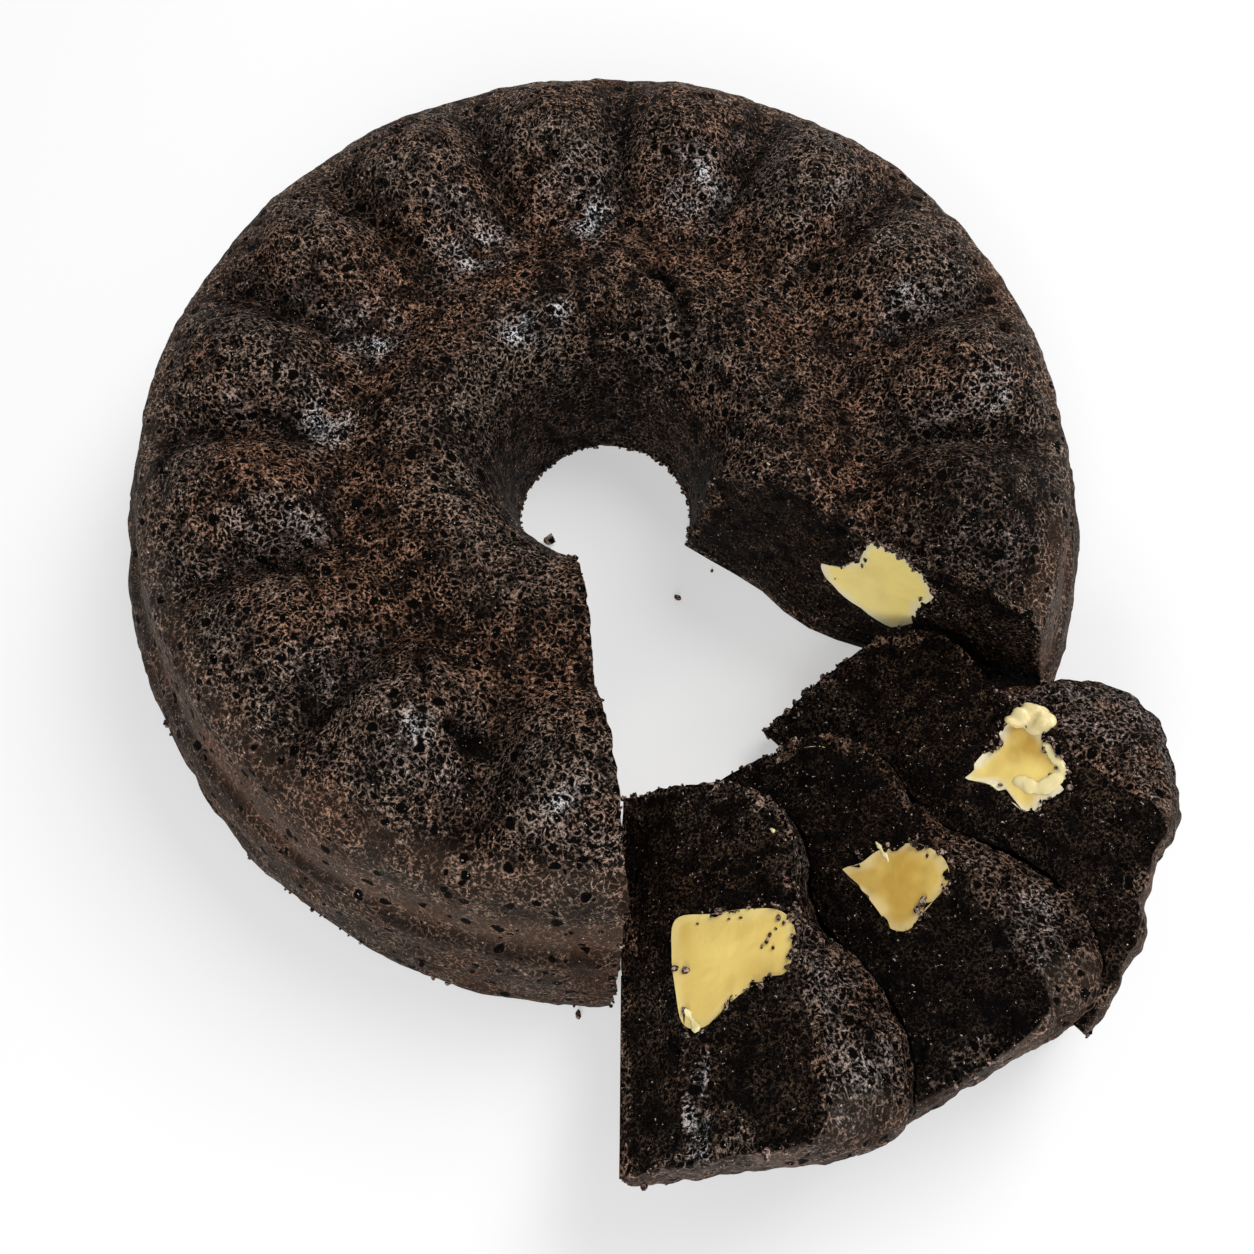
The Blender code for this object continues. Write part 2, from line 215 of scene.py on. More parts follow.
def through(points, spacing, closed=False):
    """Evenly spaced points on a smooth curve through the given ones."""
    count = len(points)
    places = np.linspace(0, count if closed else count - 1, 40 * count + 1)
    first = np.minimum(np.floor(places).astype(int), count - 1 if closed else count - 2)
    part = (places - first)[:, None]
    if closed:
        ends = [points[(first + step) % count] for step in (-1, 0, 1, 2)]
    else:
        ends = [points[np.clip(first + step, 0, count - 1)] for step in (-1, 0, 1, 2)]
    before, start, end, after = ends
    curve = 0.5 * (2 * start + (end - before) * part + (2 * before - 5 * start + 4 * end - after) * part ** 2
                   + (3 * start - before - 3 * end + after) * part ** 3)
    lengths = np.concatenate([[0.0], np.cumsum(np.linalg.norm(np.diff(curve[:, :2], axis=0), axis=1))])
    steps = max(8, round(lengths[-1] / spacing))
    wanted = np.linspace(0.0, lengths[-1], steps + 1)
    even = np.stack([np.interp(wanted, lengths, curve[:, axis]) for axis in range(curve.shape[1])], axis=1)
    return even[:-1] if closed else even


def lobe_form(place):
    """Share of a lobe's height at a place from -1, the valley before it, to 1, the valley after."""
    from_valley = np.clip(1.0 - np.abs(place), 0.0, 1.0)
    rounded = np.sqrt(from_valley ** 2 + VALLEY_ROUNDING ** 2) - VALLEY_ROUNDING
    return 1.0 - (1.0 - rounded) ** LOBE_FULLNESS


def lobe_angle(number):
    return FIRST_LOBE + LOBE_PITCH * number + LOBE_SPREAD * number * number


def ring_lobes(angles):
    """Height of the lobes above the crown at angles in degrees round the ring."""
    height = np.zeros_like(angles)
    for number in range(-1, LOBE_COUNT + 1):
        centre = lobe_angle(number)
        before = (centre + lobe_angle(number - 1)) / 2
        after = (centre + lobe_angle(number + 1)) / 2
        half = np.where(angles < centre, centre - before, after - centre)
        uneven = 1.0 + LOBE_UNEVENNESS * math.sin(LOBE_RHYTHM * number)
        there = (angles >= before) & (angles <= after)
        height = np.where(there, LOBE_HEIGHT * uneven * lobe_form((angles - centre) / half), height)
    return height


def cut_angle(cut, radius, height):
    """Angle in degrees at which points of a radius and height lie on a leaning knife cut."""
    (x, y), heading, lean = cut
    turn = math.radians(heading)
    offset = -x * math.sin(turn) + y * math.cos(turn) + height * math.tan(math.radians(lean))
    return heading + np.degrees(np.arcsin(offset / radius))


class Ring:
    """How the ring's sections are set out: from the right cut at share 0 to the left cut at share 1."""

    size = dict(tip=HOLE_RADIUS, crest=CREST_HEIGHT, crown=CROWN_HEIGHT, shoulder=SHOULDER_RADIUS,
                base=RING_RADIUS, lobe_shares=RING_LOBE)

    @staticmethod
    def angle(radius, height, share):
        start = cut_angle(RIGHT_CUT, radius, height)
        end = cut_angle(LEFT_CUT, radius, height) + 360.0
        return start + (end - start) * share

    @classmethod
    def skin(cls, outline, share):
        """Radius, height and angle of outline points (radius, height, lobe share) at a share of the way."""
        radius, height, lift = outline
        for _ in range(2):
            angle = cls.angle(radius, height, share)
            wide = 1.0 - OUT_OF_ROUND * np.cos(np.radians(2 * angle)) * ease(outline[0], *OUT_OF_ROUND_RADII)
            radius = outline[0] * wide
            height = outline[1] + lift * ring_lobes(angle)
        return radius, height, cls.angle(radius, height, share)

    @staticmethod
    def filling(share):
        """How much the filling has the form that the right cut shows."""
        return max(0.0, 1.0 - share * RING_SWEEP / FILLING_BLEND)

    @staticmethod
    def place(points):
        return points + np.array([*RING_CENTRE, 0.0])


class Slice:
    """How one slice's sections are set out: from the face that shows to the one it lies on."""

    def __init__(self, data):
        self.data = data
        self.size = {key: data[key] for key in ("tip", "crest", "crown", "shoulder", "base", "lobe_shares")}
        heading, topple, pitch = (math.radians(data[key]) for key in ("heading", "topple", "pitch"))
        out = Vector((math.cos(heading), math.sin(heading), 0.0))
        side = Vector((-math.sin(heading), math.cos(heading), 0.0))
        up = Vector((0.0, 0.0, 1.0))
        tilt = Matrix.Rotation(-pitch, 3, side)
        rows = (tilt @ out,
                tilt @ (side * math.sin(topple) - up * math.cos(topple)),
                tilt @ (side * math.cos(topple) + up * math.sin(topple)))
        self.basis = np.array([list(row) for row in rows]) * data["size"]

    @staticmethod
    def angle(radius, height, share):
        return np.full_like(radius, SLICE_ANGLE) * share

    def skin(self, outline, share):
        radius, height, lift = outline
        side = np.where(share < SLICE_LOBE_CENTRE, SLICE_LOBE_CENTRE, 1.0 - SLICE_LOBE_CENTRE)
        lobe = self.data["lobe"] * lobe_form((share - SLICE_LOBE_CENTRE) / side)
        squash = SLICE_SQUASH * share ** 2 * ease(radius, *SLICE_SQUASH_RADII)
        return radius - squash, height + lift * lobe, self.angle(radius, height, share)

    @staticmethod
    def filling(share):
        return 1.0 - share

    def place(self, points):
        return points @ self.basis + np.array(self.data["place"]) + np.array([*RING_CENTRE, 0.0])


def in_space(radius, height, angle):
    radius, height, turn = np.broadcast_arrays(radius, height, np.radians(angle))
    return np.stack([radius * np.cos(turn), radius * np.sin(turn), height], axis=-1)


class Grid:
    """Collects points, what each belongs to, and the faces between rows of them."""

    def __init__(self):
        self.points = []
        self.radius = []
        self.height = []
        self.part = []
        self.faces = []
        self.finish = []
        self.count = 0

    def add(self, points, radius, height, part):
        """Adds an array of points and returns their numbers in the same layout."""
        shape = points.shape[:-1]
        numbers = np.arange(self.count, self.count + int(np.prod(shape))).reshape(shape)
        self.points.append(points.reshape(-1, 3))
        for store, values in ((self.radius, radius), (self.height, height), (self.part, part)):
            store.append(np.broadcast_to(values, shape).ravel())
        self.count += numbers.size
        return numbers

    def join(self, rows, finish):
        """Quads between rows of point numbers, each row closed on itself."""
        nearer, further = rows[:-1], rows[1:]
        corners = [nearer, np.roll(nearer, -1, axis=1), np.roll(further, -1, axis=1), further]
        quads = np.stack(corners, axis=-1)
        self.faces.append(quads.reshape(-1, 4))
        self.finish.append(np.broadcast_to(finish, quads.shape[:-1]).ravel())

    def fan(self, row, middle, finish):
        """Triangles from a row of points to one point in its middle."""
        middles = np.full(len(row), middle)
        self.faces.append(np.stack([row, np.roll(row, -1), middles, middles], axis=-1))
        self.finish.append(np.full(len(row), finish))

    def mesh(self, name):
        mesh = bpy.data.meshes.new(name)
        faces = [list(dict.fromkeys(face)) for face in np.concatenate(self.faces).tolist()]
        mesh.from_pydata(np.concatenate(self.points).tolist(), [], faces)
        mesh.polygons.foreach_set("material_index", np.concatenate(self.finish).astype(np.int32))
        mesh.polygons.foreach_set("use_smooth", np.ones(len(faces), bool))
        return mesh


def filling_centre(form, outline, share):
    """The filling's middle, as radius and height, at a share of the way through."""
    plain = np.array(FILLING_MIDDLE)
    return plain + (np.mean(outline, axis=0) - plain) * form.filling(share)


def filling_outline(form, outline, directions, share):
    """The filling's outline at a share of the way through, as radius and height."""
    seen = through(np.array(outline), 0.5, closed=True) - np.mean(outline, axis=0)
    turns = np.arctan2(seen[:, 1], seen[:, 0])
    order = np.argsort(turns)
    cut = np.interp(directions, turns[order], np.hypot(seen[:, 0], seen[:, 1])[order], period=2 * math.pi)
    half_x, half_z = FILLING_HALF_SIZE
    plain = 1.0 / np.hypot(np.cos(directions) / half_x, np.sin(directions) / half_z)
    reach = plain + (cut - plain) * form.filling(share)
    centre = filling_centre(form, outline, share)
    return centre[0] + reach * np.cos(directions), centre[1] + reach * np.sin(directions)


SKIN, CUT, INSIDE = 0.0, 1.0, 2.0
TORN_EDGE = 2.2               # how far the skin's open pores run on over a cut's edge
RAGGED_WIDTH = 1.6            # how far from the edge the skin is frayed by the knife


def face_directions(radius, height, middle):
    return np.arctan2(height - middle[1], radius - middle[0])


def crease_band(form, points, radius, height):
    """1 along the crease of a slice that has one, where the crumb is open and glossy with a painted sheen,
    and 0 away from it.
    """
    if not form.data["crease"]:
        return np.zeros_like(radius)
    away = np.abs(height - SLICE_CREASE_HEIGHT - 2.5) - 0.9 * smooth_noise(points, 3.0, 77)
    return (1.0 - ease(away, 1.5, 3.0)) * ease(radius, 72.0, 78.0)


def sponge_grid(form, filling, spacing, steps, face_rings, tunnel_steps):
    """The sponge round its filling: skin, both cut faces and the tunnel, as one closed grid."""
    profile = through(section(**form.size), spacing)
    bottom = np.linspace(profile[-1], profile[0], 14)[1:-1]
    outline = np.concatenate([profile, bottom]).T
    shares = np.linspace(0.0, 1.0, steps + 1)[:, None]
    radius, height, angle = form.skin(outline, shares)
    radius, height = np.broadcast_to(radius, angle.shape), np.broadcast_to(height, angle.shape)
    part = np.where(np.arange(outline.shape[1]) < len(profile), SKIN, INSIDE)
    grid = Grid()
    skin = grid.add(in_space(radius, height, angle), radius, height, part)
    grid.join(skin, 0)

    ends = []
    directions = []
    for share, row in ((0.0, 0), (1.0, -1)):
        towards = face_directions(radius[row], height[row], filling_centre(form, filling, share))
        inner_r, inner_z = filling_outline(form, filling, towards, share)
        part_way = np.linspace(0.0, 1.0, face_rings + 1)[1:, None]
        face_r = radius[row] + (inner_r - radius[row]) * part_way
        face_z = height[row] + (inner_z - height[row]) * part_way
        points = in_space(face_r, face_z, form.angle(face_r, face_z, share))
        face = grid.add(points, face_r, face_z, CUT)
        rows = np.concatenate([skin[row][None], face])
        # The pored skin runs on over the cut's edge by a ragged few millimetres
        width = np.hypot(radius[row] - inner_r, height[row] - inner_z) * (part_way - 1.0 / face_rings)
        flat = points.reshape(-1, 3)
        ragged = TORN_EDGE * (1.0 + 1.6 * smooth_noise(flat, 5.0, 61).reshape(width.shape))
        finish = np.where(width < ragged, 0, 1)
        if form is not Ring:
            crease = crease_band(form, flat, face_r.ravel(), face_z.ravel()).reshape(width.shape)
            finish = np.where(crease > 0.5, 0, finish)
        grid.join(rows[::-1] if row == 0 else rows, finish[::-1] if row == 0 else finish)
        ends.append(face[-1])
        directions.append(np.unwrap(towards))

    first, last = directions
    last = last + 2 * math.pi * np.round((first[0] - last[0]) / (2 * math.pi))
    rows = [ends[0][None]]
    for share in np.linspace(0.0, 1.0, tunnel_steps + 1)[1:-1]:
        towards = first + (last - first) * share
        tunnel_r, tunnel_z = filling_outline(form, filling, towards, share)
        points = in_space(tunnel_r, tunnel_z, form.angle(tunnel_r, tunnel_z, share))
        rows.append(grid.add(points[None], tunnel_r, tunnel_z, INSIDE))
    rows.append(ends[1][None])
    grid.join(np.concatenate(rows)[::-1], 1)
    return grid


def filling_grid(form, filling, count, face_rings, tunnel_steps, gap):
    """The filling that runs through from one cut face to the other."""
    towards = np.linspace(math.pi, -math.pi, count, endpoint=False)
    grid = Grid()
    rows = []
    for share in np.linspace(0.0, 1.0, tunnel_steps + 1):
        tube_r, tube_z = filling_outline(form, filling, towards, share)
        centre = filling_centre(form, filling, share)
        tube_r = tube_r - gap * np.cos(towards)
        tube_z = tube_z - gap * np.sin(towards)
        points = in_space(tube_r, tube_z, form.angle(tube_r, tube_z, share))
        rows.append(grid.add(points[None], tube_r, tube_z, INSIDE))
        if share in (0.0, 1.0):
            part_way = np.linspace(0.0, 1.0, face_rings + 1)[1:-1, None]
            face_r = tube_r + (centre[0] - tube_r) * part_way
            face_z = tube_z + (centre[1] - tube_z) * part_way
            points = in_space(face_r, face_z, form.angle(face_r, face_z, share))
            face = grid.add(points, face_r, face_z, CUT)
            tip = grid.add(in_space(*centre, form.angle(*centre, share))[None], *centre, CUT)
            disc = np.concatenate([rows[-1], face])
            grid.join(disc[::-1] if share == 0.0 else disc, 0)
            grid.fan(disc[-1][::-1] if share == 0.0 else disc[-1], tip[0], 0)
    grid.join(np.concatenate(rows), 0)
    return grid


# Where the knife has dragged crumbs over the custard: width of the border, reach, and how far the
# custard's face lies below the sponge's
LIP_WIDTH = 1.2
LIP_REACH = 1.5
FILLING_SUNK = 0.25
FILLING_GAP = 0.15            # between the custard and the sponge round it


# Places of single features on the ring, from its centre. Pits: x, y, radius, depth
PITS = [(20, 86, 1.9, 2.4), (21.5, 85.5, 1.7, 2.4), (11, 41, 2.6, 2.6), (14, 37, 1.6, 1.6),
        (-22, -68, 3.0, 2.6), (-25, -66, 2.0, 2.0), (84, 24, 1.6, 1.4), (-58, 52, 2.2, 1.8)]
CRACKS = [((11, 41), (14, 35), (18, 28), 0.9), ((36, 6), (39, 9), (42, 12), 0.8),
          ((-60, -31), (-56, -35), (-53, -40), 1.0), ((-35, -50), (-32, -54), (-31, -58), 1.0),
          ((-70, -29), (-66, -32), (-63, -33), 0.8)]                            # three points, half width
# Glossy patches of moist crumb, with a painted sheen on them in place of the lamps' reflection
WET_AND_PAINTED_SHEEN_PATCHES = [(-5, 57, 8), (20, 60, 8), (-30, 46, 8), (-51, 23, 7), (-58, 2, 6), (-32, -68, 4), (-4, -81, 5),
               (79, 6, 5), (64, 30, 5), (-16, 27, 4), (-20, 24, 3), (-11, 30, 3)]   # x, y, radius
SLICE_WET_AND_PAINTED_SHEEN_PATCHES = {"slice_3": [(93, 11, 8), (42, 36, 7), (72, 37, 6), (88, 36, 9)],
                     "slice_2": [(50, 33, 5), (90, 32, 8), (78, 38, 6)],
                     "slice_1": [(86, 36, 7), (42, 38, 8), (95, 20, 6)]}           # radius, height, size


# Zones of the skin: the radii or heights between which each begins or ends
TOP_RADII, TOP_HEIGHTS = (52.0, 62.0), (31.0, 37.0)
WALL_RADII, WALL_HEIGHTS = (95.0, 99.0), (30.0, 35.0)
SHOULDER_RADII = (88.0, 94.0)
BAND_HEIGHTS, FLAKY_HEIGHTS = (22.0, 26.0), (20.0, 24.0)
HOLE_WALL_RADII, HOLE_WALL_HEIGHTS = (24.0, 30.0), (22.0, 34.0)
TIP_RADII = (26.0, 32.0)
GROOVE = (52.0, 12.0)         # radius and half width of the dark groove round the hole
FOOT_BULGE = 3.0              # how far the foot of the ring's right cut bulges into the gap
FOOT_RADII, FOOT_HEIGHTS = (53.0, 12.0), (2.0, 13.0)   # radius and half width, heights

# Pores: how far apart, the smallest and largest radius, and the share of places that hold one
OPEN_PORES = dict(spacing=4.0, small=0.8, large=1.7, share=0.6)
SMALL_PORES = dict(spacing=2.5, small=0.55, large=1.0, share=0.7)
SLICE_PORES = dict(spacing=2.9, small=0.6, large=1.2, share=0.6)
CUT_PORES = dict(spacing=2.5, small=0.45, large=1.0, share=0.6)
CUSTARD_PORES = dict(spacing=7.0, small=0.4, large=0.9, share=0.5)


def distance_to_path(points, path):
    """Distance in plan from points to a path of straight runs."""
    nearest = np.full(len(points), 1e9)
    for start, end in zip(path, path[1:]):
        start, end = np.array(start, float), np.array(end, float)
        along = end - start
        share = np.clip((points[:, :2] - start) @ along / (along @ along), 0.0, 1.0)
        away = points[:, :2] - start - share[:, None] * along
        nearest = np.minimum(nearest, np.linalg.norm(away, axis=1))
    return nearest


def spots(points, places):
    """Soft round spots with the value 1 in the middle."""
    value = np.zeros(len(points))
    for *middle, radius in places:
        away = np.linalg.norm(points[:, :len(middle)] - np.array(middle, float), axis=1)
        value = np.maximum(value, np.exp(-(away / radius) ** 2 * 1.6))
    return value


def way_through(form, points, radius, height):
    """Share of the way from the first cut face to the last, and the distance to the nearer face."""
    angle = np.degrees(np.arctan2(points[:, 1], points[:, 0]))
    first = form.angle(radius, height, 0.0)
    last = form.angle(radius, height, 1.0)
    angle = first + (angle - first + 20.0) % 360.0 - 20.0
    share = (angle - first) / (last - first)
    away = np.minimum(np.abs(angle - first), np.abs(last - angle))
    return np.clip(share, 0.0, 1.0), np.radians(away) * radius


def sponge_looks(form, points, normals, radius, height, part, seed):
    """How far the crumb stands out at each point, and the values that colour it."""
    share, to_face = way_through(form, points, radius, height)
    top = ease(radius, *TOP_RADII) * ease(height, *TOP_HEIGHTS)
    wall = ease(radius, *WALL_RADII) * (1.0 - ease(height, *WALL_HEIGHTS))
    shoulder = ease(radius, *SHOULDER_RADII) * (1.0 - wall)
    band = wall * ease(height, *BAND_HEIGHTS)
    flaky = wall * (1.0 - ease(height, *FLAKY_HEIGHTS))
    if form is Ring:
        turn = np.arctan2(points[:, 1], points[:, 0]) + 2 * math.pi * (points[:, 1] < 0)
        lobe = ease(ring_lobes(np.degrees(turn)) / LOBE_HEIGHT, 0.15, 0.7)
    else:
        lobe = 1.0
    torn = top * lobe * (1.0 - 0.7 * shoulder)
    ragged_edge = spread(to_face, 0.0, RAGGED_WIDTH)

    open_pores = pits(points, seed=seed, **OPEN_PORES)
    small_pores = pits(points, seed=seed + 5, **SMALL_PORES)
    skin = 0.5 * smooth_noise(points, 14.0, seed + 1)
    skin += (0.4 + 0.6 * torn) * 0.5 * rough_noise(points, 4.6, seed + 2, 2)
    skin += (0.5 + 0.7 * torn - 0.35 * band) * 0.3 * smooth_noise(points, 1.8, seed + 4)
    skin += flaky * 0.8 * smooth_noise(points * np.array([0.35, 0.35, 1.5]), 4.0, seed + 9)
    skin -= (0.2 + 1.2 * torn) * open_pores + (0.25 + 0.35 * torn) * small_pores
    if form is not Ring:
        skin += 0.35 * rough_noise(points, 3.4, seed + 13, 2)
        skin -= torn * pits(points, seed=seed + 14, **SLICE_PORES)
    skin += ragged_edge * (0.5 * smooth_noise(points, 2.2, seed + 12) - 0.2)

    cut_pores = pits(points, seed=seed + 6, **CUT_PORES)
    cut = 0.45 * smooth_noise(points, 9.0, seed + 7) + 0.4 * rough_noise(points, 3.2, seed + 8, 3)
    cut -= 0.6 * cut_pores
    if form is Ring:
        foot = spread(radius, *FOOT_RADII) * (1.0 - ease(height, *FOOT_HEIGHTS)) * (share < 0.5)
        cut += FOOT_BULGE * foot

    relief = np.where(part == SKIN, skin, np.where(part == CUT, cut, 0.0))
    edge_crumbs = 0.5 * ragged_edge * (part == SKIN) + 1.2 * (part == SKIN) * (height < 1.5)
    tip_crumbs = (1.0 - ease(radius, *TIP_RADII)) * (part != INSIDE) if form is not Ring else 0.0
    # Painted shade: how black the pores are painted, more in the torn crumb; on a cut face, half its pores
    hollow = np.maximum(open_pores * (0.25 + 0.75 * torn), small_pores * (0.3 + 0.5 * torn))
    hollow = np.where(part == SKIN, hollow, 0.5 * cut_pores)
    # Painted sheen: the top's lower right flanks, found by the way they face, are painted paler and bluish as
    # if they reflected a lamp
    lower_right = normals @ np.array([0.5, -0.86, 0.0])
    painted_flank_sheen = ease(lower_right, 0.3, 0.6) * top * (1.0 - shoulder)
    painted_flank_sheen = painted_flank_sheen * (0.4 + smooth_noise(points, 5.0, seed + 21))
    groove = spread(radius, *GROOVE)
    # Painted shade: the valleys between the lobes, the hole's wall and the foot of the outer wall are painted
    # darker, where little light reaches them
    painted_shade = 1.0 - 0.45 * top * (1.0 - lobe) * (1.0 - shoulder)
    in_hole = (1.0 - ease(radius, *HOLE_WALL_RADII)) * (1.0 - ease(height, *HOLE_WALL_HEIGHTS))
    painted_shade = painted_shade * (1.0 - 0.5 * in_hole)
    painted_shade = np.where(part == SKIN, painted_shade * (1.0 - 0.35 * wall), 1.0)
    # Painted shade on the slices: a cut face is painted as bright as its slice's lit value, and the skin at
    # 0.7, darker copies of the same crumb
    lit = painted_shade if form is Ring else np.where(part == CUT, form.data["lit"], 0.7)
    patchy = np.clip(0.62 + 0.75 * rough_noise(points, 2.8, seed + 23, 2) + 0.25 * torn, 0.12, 1.1)
    looks = {
        "hollow": hollow,
        "smooth": np.where(part == SKIN, band + 0.45 * flaky + 0.35 * shoulder, 0.0),
        "wet": np.where(part == SKIN, np.clip(0.22 * painted_flank_sheen, 0.0, 1.0), 0.0),
        "tone": np.clip(0.65 - 0.5 * groove + 0.5 * rough_noise(points, 12.0, seed + 22, 2), 0.0, 1.0),
        # The walls' brightness: random unevenness, dimmed by the painted shade
        "patchy": lit * patchy,
        "crumbs": edge_crumbs + tip_crumbs,
    }
    return relief, looks


def vertex_normals(mesh):
    normals = np.zeros(len(mesh.vertices) * 3, np.float32)
    mesh.vertex_normals.foreach_get("vector", normals)
    return normals.reshape(-1, 3).astype(float)


def store(mesh, name, values):
    attribute = mesh.attributes.new(name, "FLOAT", "POINT")
    attribute.data.foreach_set("value", np.asarray(values, np.float32))


def in_scene(name, mesh, materials):
    for material in materials:
        mesh.materials.append(material)
    body = bpy.data.objects.new(name, mesh)
    bpy.context.scene.collection.objects.link(body)
    return body


def take_modifiers(body):
    """Gives a body the mesh that its modifiers make of it, and drops them."""
    bpy.context.view_layer.update()
    mesh = bpy.data.meshes.new_from_object(body.evaluated_get(bpy.context.evaluated_depsgraph_get()))
    mesh.name = body.name
    body.modifiers.clear()
    body.data = mesh
    return mesh


def finished_object(mesh, form, points, materials):
    """Puts a mesh in its place on the table, in metres, as an object in the scene."""
    placed = form.place(points)
    placed[:, 2] = np.maximum(placed[:, 2], 0.0)
    mesh.vertices.foreach_set("co", (placed * MM).astype(np.float32).ravel())
    mesh.set_sharp_from_angle(angle=math.radians(SHARP_EDGE))
    mesh.update()
    return in_scene(mesh.name, mesh, materials)


def distance_to_filling(form, filling, radius, height, share):
    """Direction in section from the filling's middle, and the distance to the filling's outline."""
    towards, distance = np.zeros_like(radius), np.zeros_like(radius)
    for face, there in ((0.0, share < 0.5), (1.0, share >= 0.5)):
        centre = filling_centre(form, filling, face)
        towards[there] = face_directions(radius[there], height[there], centre)
        rim_r, rim_z = filling_outline(form, filling, towards[there], face)
        away = np.hypot(radius[there] - centre[0], height[there] - centre[1])
        distance[there] = away - np.hypot(rim_r - centre[0], rim_z - centre[1])
    return towards, distance


def make_sponge(name, form, filling, spacing, steps, face_rings, tunnel_steps, seed, materials, wet_and_painted_sheen_patches):
    grid = sponge_grid(form, filling, spacing, steps, face_rings, tunnel_steps)
    mesh = grid.mesh(name)
    points = np.concatenate(grid.points)
    radius, height, part = (np.concatenate(values) for values in (grid.radius, grid.height, grid.part))
    normals = vertex_normals(mesh)
    relief, looks = sponge_looks(form, points, normals, radius, height, part, seed)
    share = way_through(form, points, radius, height)[0]
    if form is Ring:
        # Glossy patches: lower roughness, and a painted sheen in place of the lamps' reflection
        wet = spots(points, wet_and_painted_sheen_patches) * (height > 25.0)
        # Pits and cracks are cut into the surface, and their hollows are painted black as shade
        for x, y, size, depth in PITS:
            near = np.exp(-(np.linalg.norm(points[:, :2] - (x, y), axis=1) / size) ** 4) * (height > 30.0)
            relief -= depth * near
            looks["hollow"] = np.maximum(looks["hollow"], near)
        for *path, width in CRACKS:
            ragged = distance_to_path(points, path) + 0.35 * smooth_noise(points, 1.7, 71)
            near = spread(ragged, 0.0, width) * (height > 30.0)
            relief -= 1.5 * near
            looks["hollow"] = np.maximum(looks["hollow"], 0.9 * near)
    else:
        # Painted sheen on a slice's glossy patches and along its crease
        wet = 0.5 * spots(np.stack([radius, height], axis=1), wet_and_painted_sheen_patches) * (part == SKIN)
        crease = crease_band(form, points, radius, height)
        wet = np.maximum(wet, 0.5 * crease * (part == CUT) * (share < 0.5))
    looks["wet"] = np.maximum(looks["wet"], wet * (0.5 + 0.8 * smooth_noise(points, 3.5, seed + 20)))
    # Crumbs pulled over the custard's border by the knife
    towards, inner = distance_to_filling(form, filling, radius, height, share)
    lip = spread(inner, 0.0, LIP_WIDTH) * (part != SKIN) * ((share < 0.004) | (share > 0.996))
    over = LIP_REACH * np.clip(0.1 + rough_noise(points, 1.7, seed + 30, 2), -0.2, 1.0) * lip
    looks["crumbs"] = looks["crumbs"] + 1.5 * lip
    for kind, values in looks.items():
        store(mesh, kind, values)
    angle = np.arctan2(points[:, 1], points[:, 0])
    points = points + normals * (relief * (1.0 - lip))[:, None]
    points[:, 0] -= over * np.cos(towards) * np.cos(angle)
    points[:, 1] -= over * np.cos(towards) * np.sin(angle)
    points[:, 2] -= over * np.sin(towards)
    if form is not Ring and form.data["crease"]:
        # The strip between the filling and the base leans back from the face that shows
        turn = np.radians(SLICE_ANGLE * share)
        below = np.clip(1.0 - height / SLICE_CREASE_HEIGHT, 0.0, 1.0)
        lean = form.data["crease"] * below * (1.0 - share) ** 2
        points += lean[:, None] * np.stack([-np.sin(turn), np.cos(turn), np.zeros_like(turn)], axis=1)
    return finished_object(mesh, form, points, materials)


# Custard's tone from deep yellow, 0, to pale, 1, how uneven it is, and how white its rim has dried. The tone
# is partly the custard's own colour and partly painted light: the ring's tone and rim are set high to make up
# for light that its cut face, turned from the lamps, doesn't get
FILLING_TONES = {"ring_filling": (1.0, 0.2, 0.7), "slice_3_filling": (0.5, 0.12, 0.15),
                 "slice_2_filling": (0.28, 0.35, 0.25), "slice_1_filling": (0.45, 0.4, 0.8)}


def make_filling(name, form, filling, count, face_rings, tunnel_steps, seed, materials):
    grid = filling_grid(form, filling, count, face_rings, tunnel_steps, FILLING_GAP)
    mesh = grid.mesh(name)
    points = np.concatenate(grid.points)
    part = np.concatenate(grid.part)
    radius, height = np.concatenate(grid.radius), np.concatenate(grid.height)
    share = way_through(form, points, radius, height)[0]
    inside = -distance_to_filling(form, filling, radius, height, share)[1]
    relief = 0.25 * smooth_noise(points, 6.0, seed) + 0.1 * rough_noise(points, 2.0, seed + 1, 2)
    relief -= 0.3 * pits(points, seed=seed + 2, **CUSTARD_PORES)
    rim = 1.0 - ease(inside + 0.8 * smooth_noise(points, 2.5, seed + 3), 0.6, 3.0)
    tone, uneven, dried = FILLING_TONES[name]
    store(mesh, "rim", dried * rim)
    store(mesh, "tone", np.clip(tone + uneven * rough_noise(points, 7.0, seed + 4, 3), 0.0, 1.0))
    store(mesh, "crumbs", (1.0 - ease(inside, 0.5, 4.0)) * (part == CUT) * (share < 0.5))
    points = points + vertex_normals(mesh) * ((relief - FILLING_SUNK) * (part == CUT))[:, None]
    return finished_object(mesh, form, points, materials)


def make_room(form, name):
    """A plain body that takes up a form's space and a little more, to cut its neighbours clear of it."""
    profile = through(section(**form.size), 6.0)
    bottom = np.linspace(profile[-1], profile[0], 4)[1:-1]
    outline = np.concatenate([profile, bottom]).T
    steps = 90 if form is Ring else 8
    radius, height, angle = form.skin(outline, np.linspace(0.0, 1.0, steps + 1)[:, None])
    grid = Grid()
    rows = grid.add(in_space(radius, height, angle), 0.0, 0.0, SKIN)
    grid.join(rows, 1)
    for row, share in ((rows[0][::-1], 0.0), (rows[-1], 1.0)):
        tip = grid.add(in_space(60.0, 20.0, form.angle(60.0, 20.0, share))[None], 0.0, 0.0, SKIN)
        grid.fan(row, tip[0], 1)
    mesh = grid.mesh(name)
    points = np.concatenate(grid.points) + 0.6 * vertex_normals(mesh)
    room = finished_object(mesh, form, points, [])
    room.hide_render = True
    return room


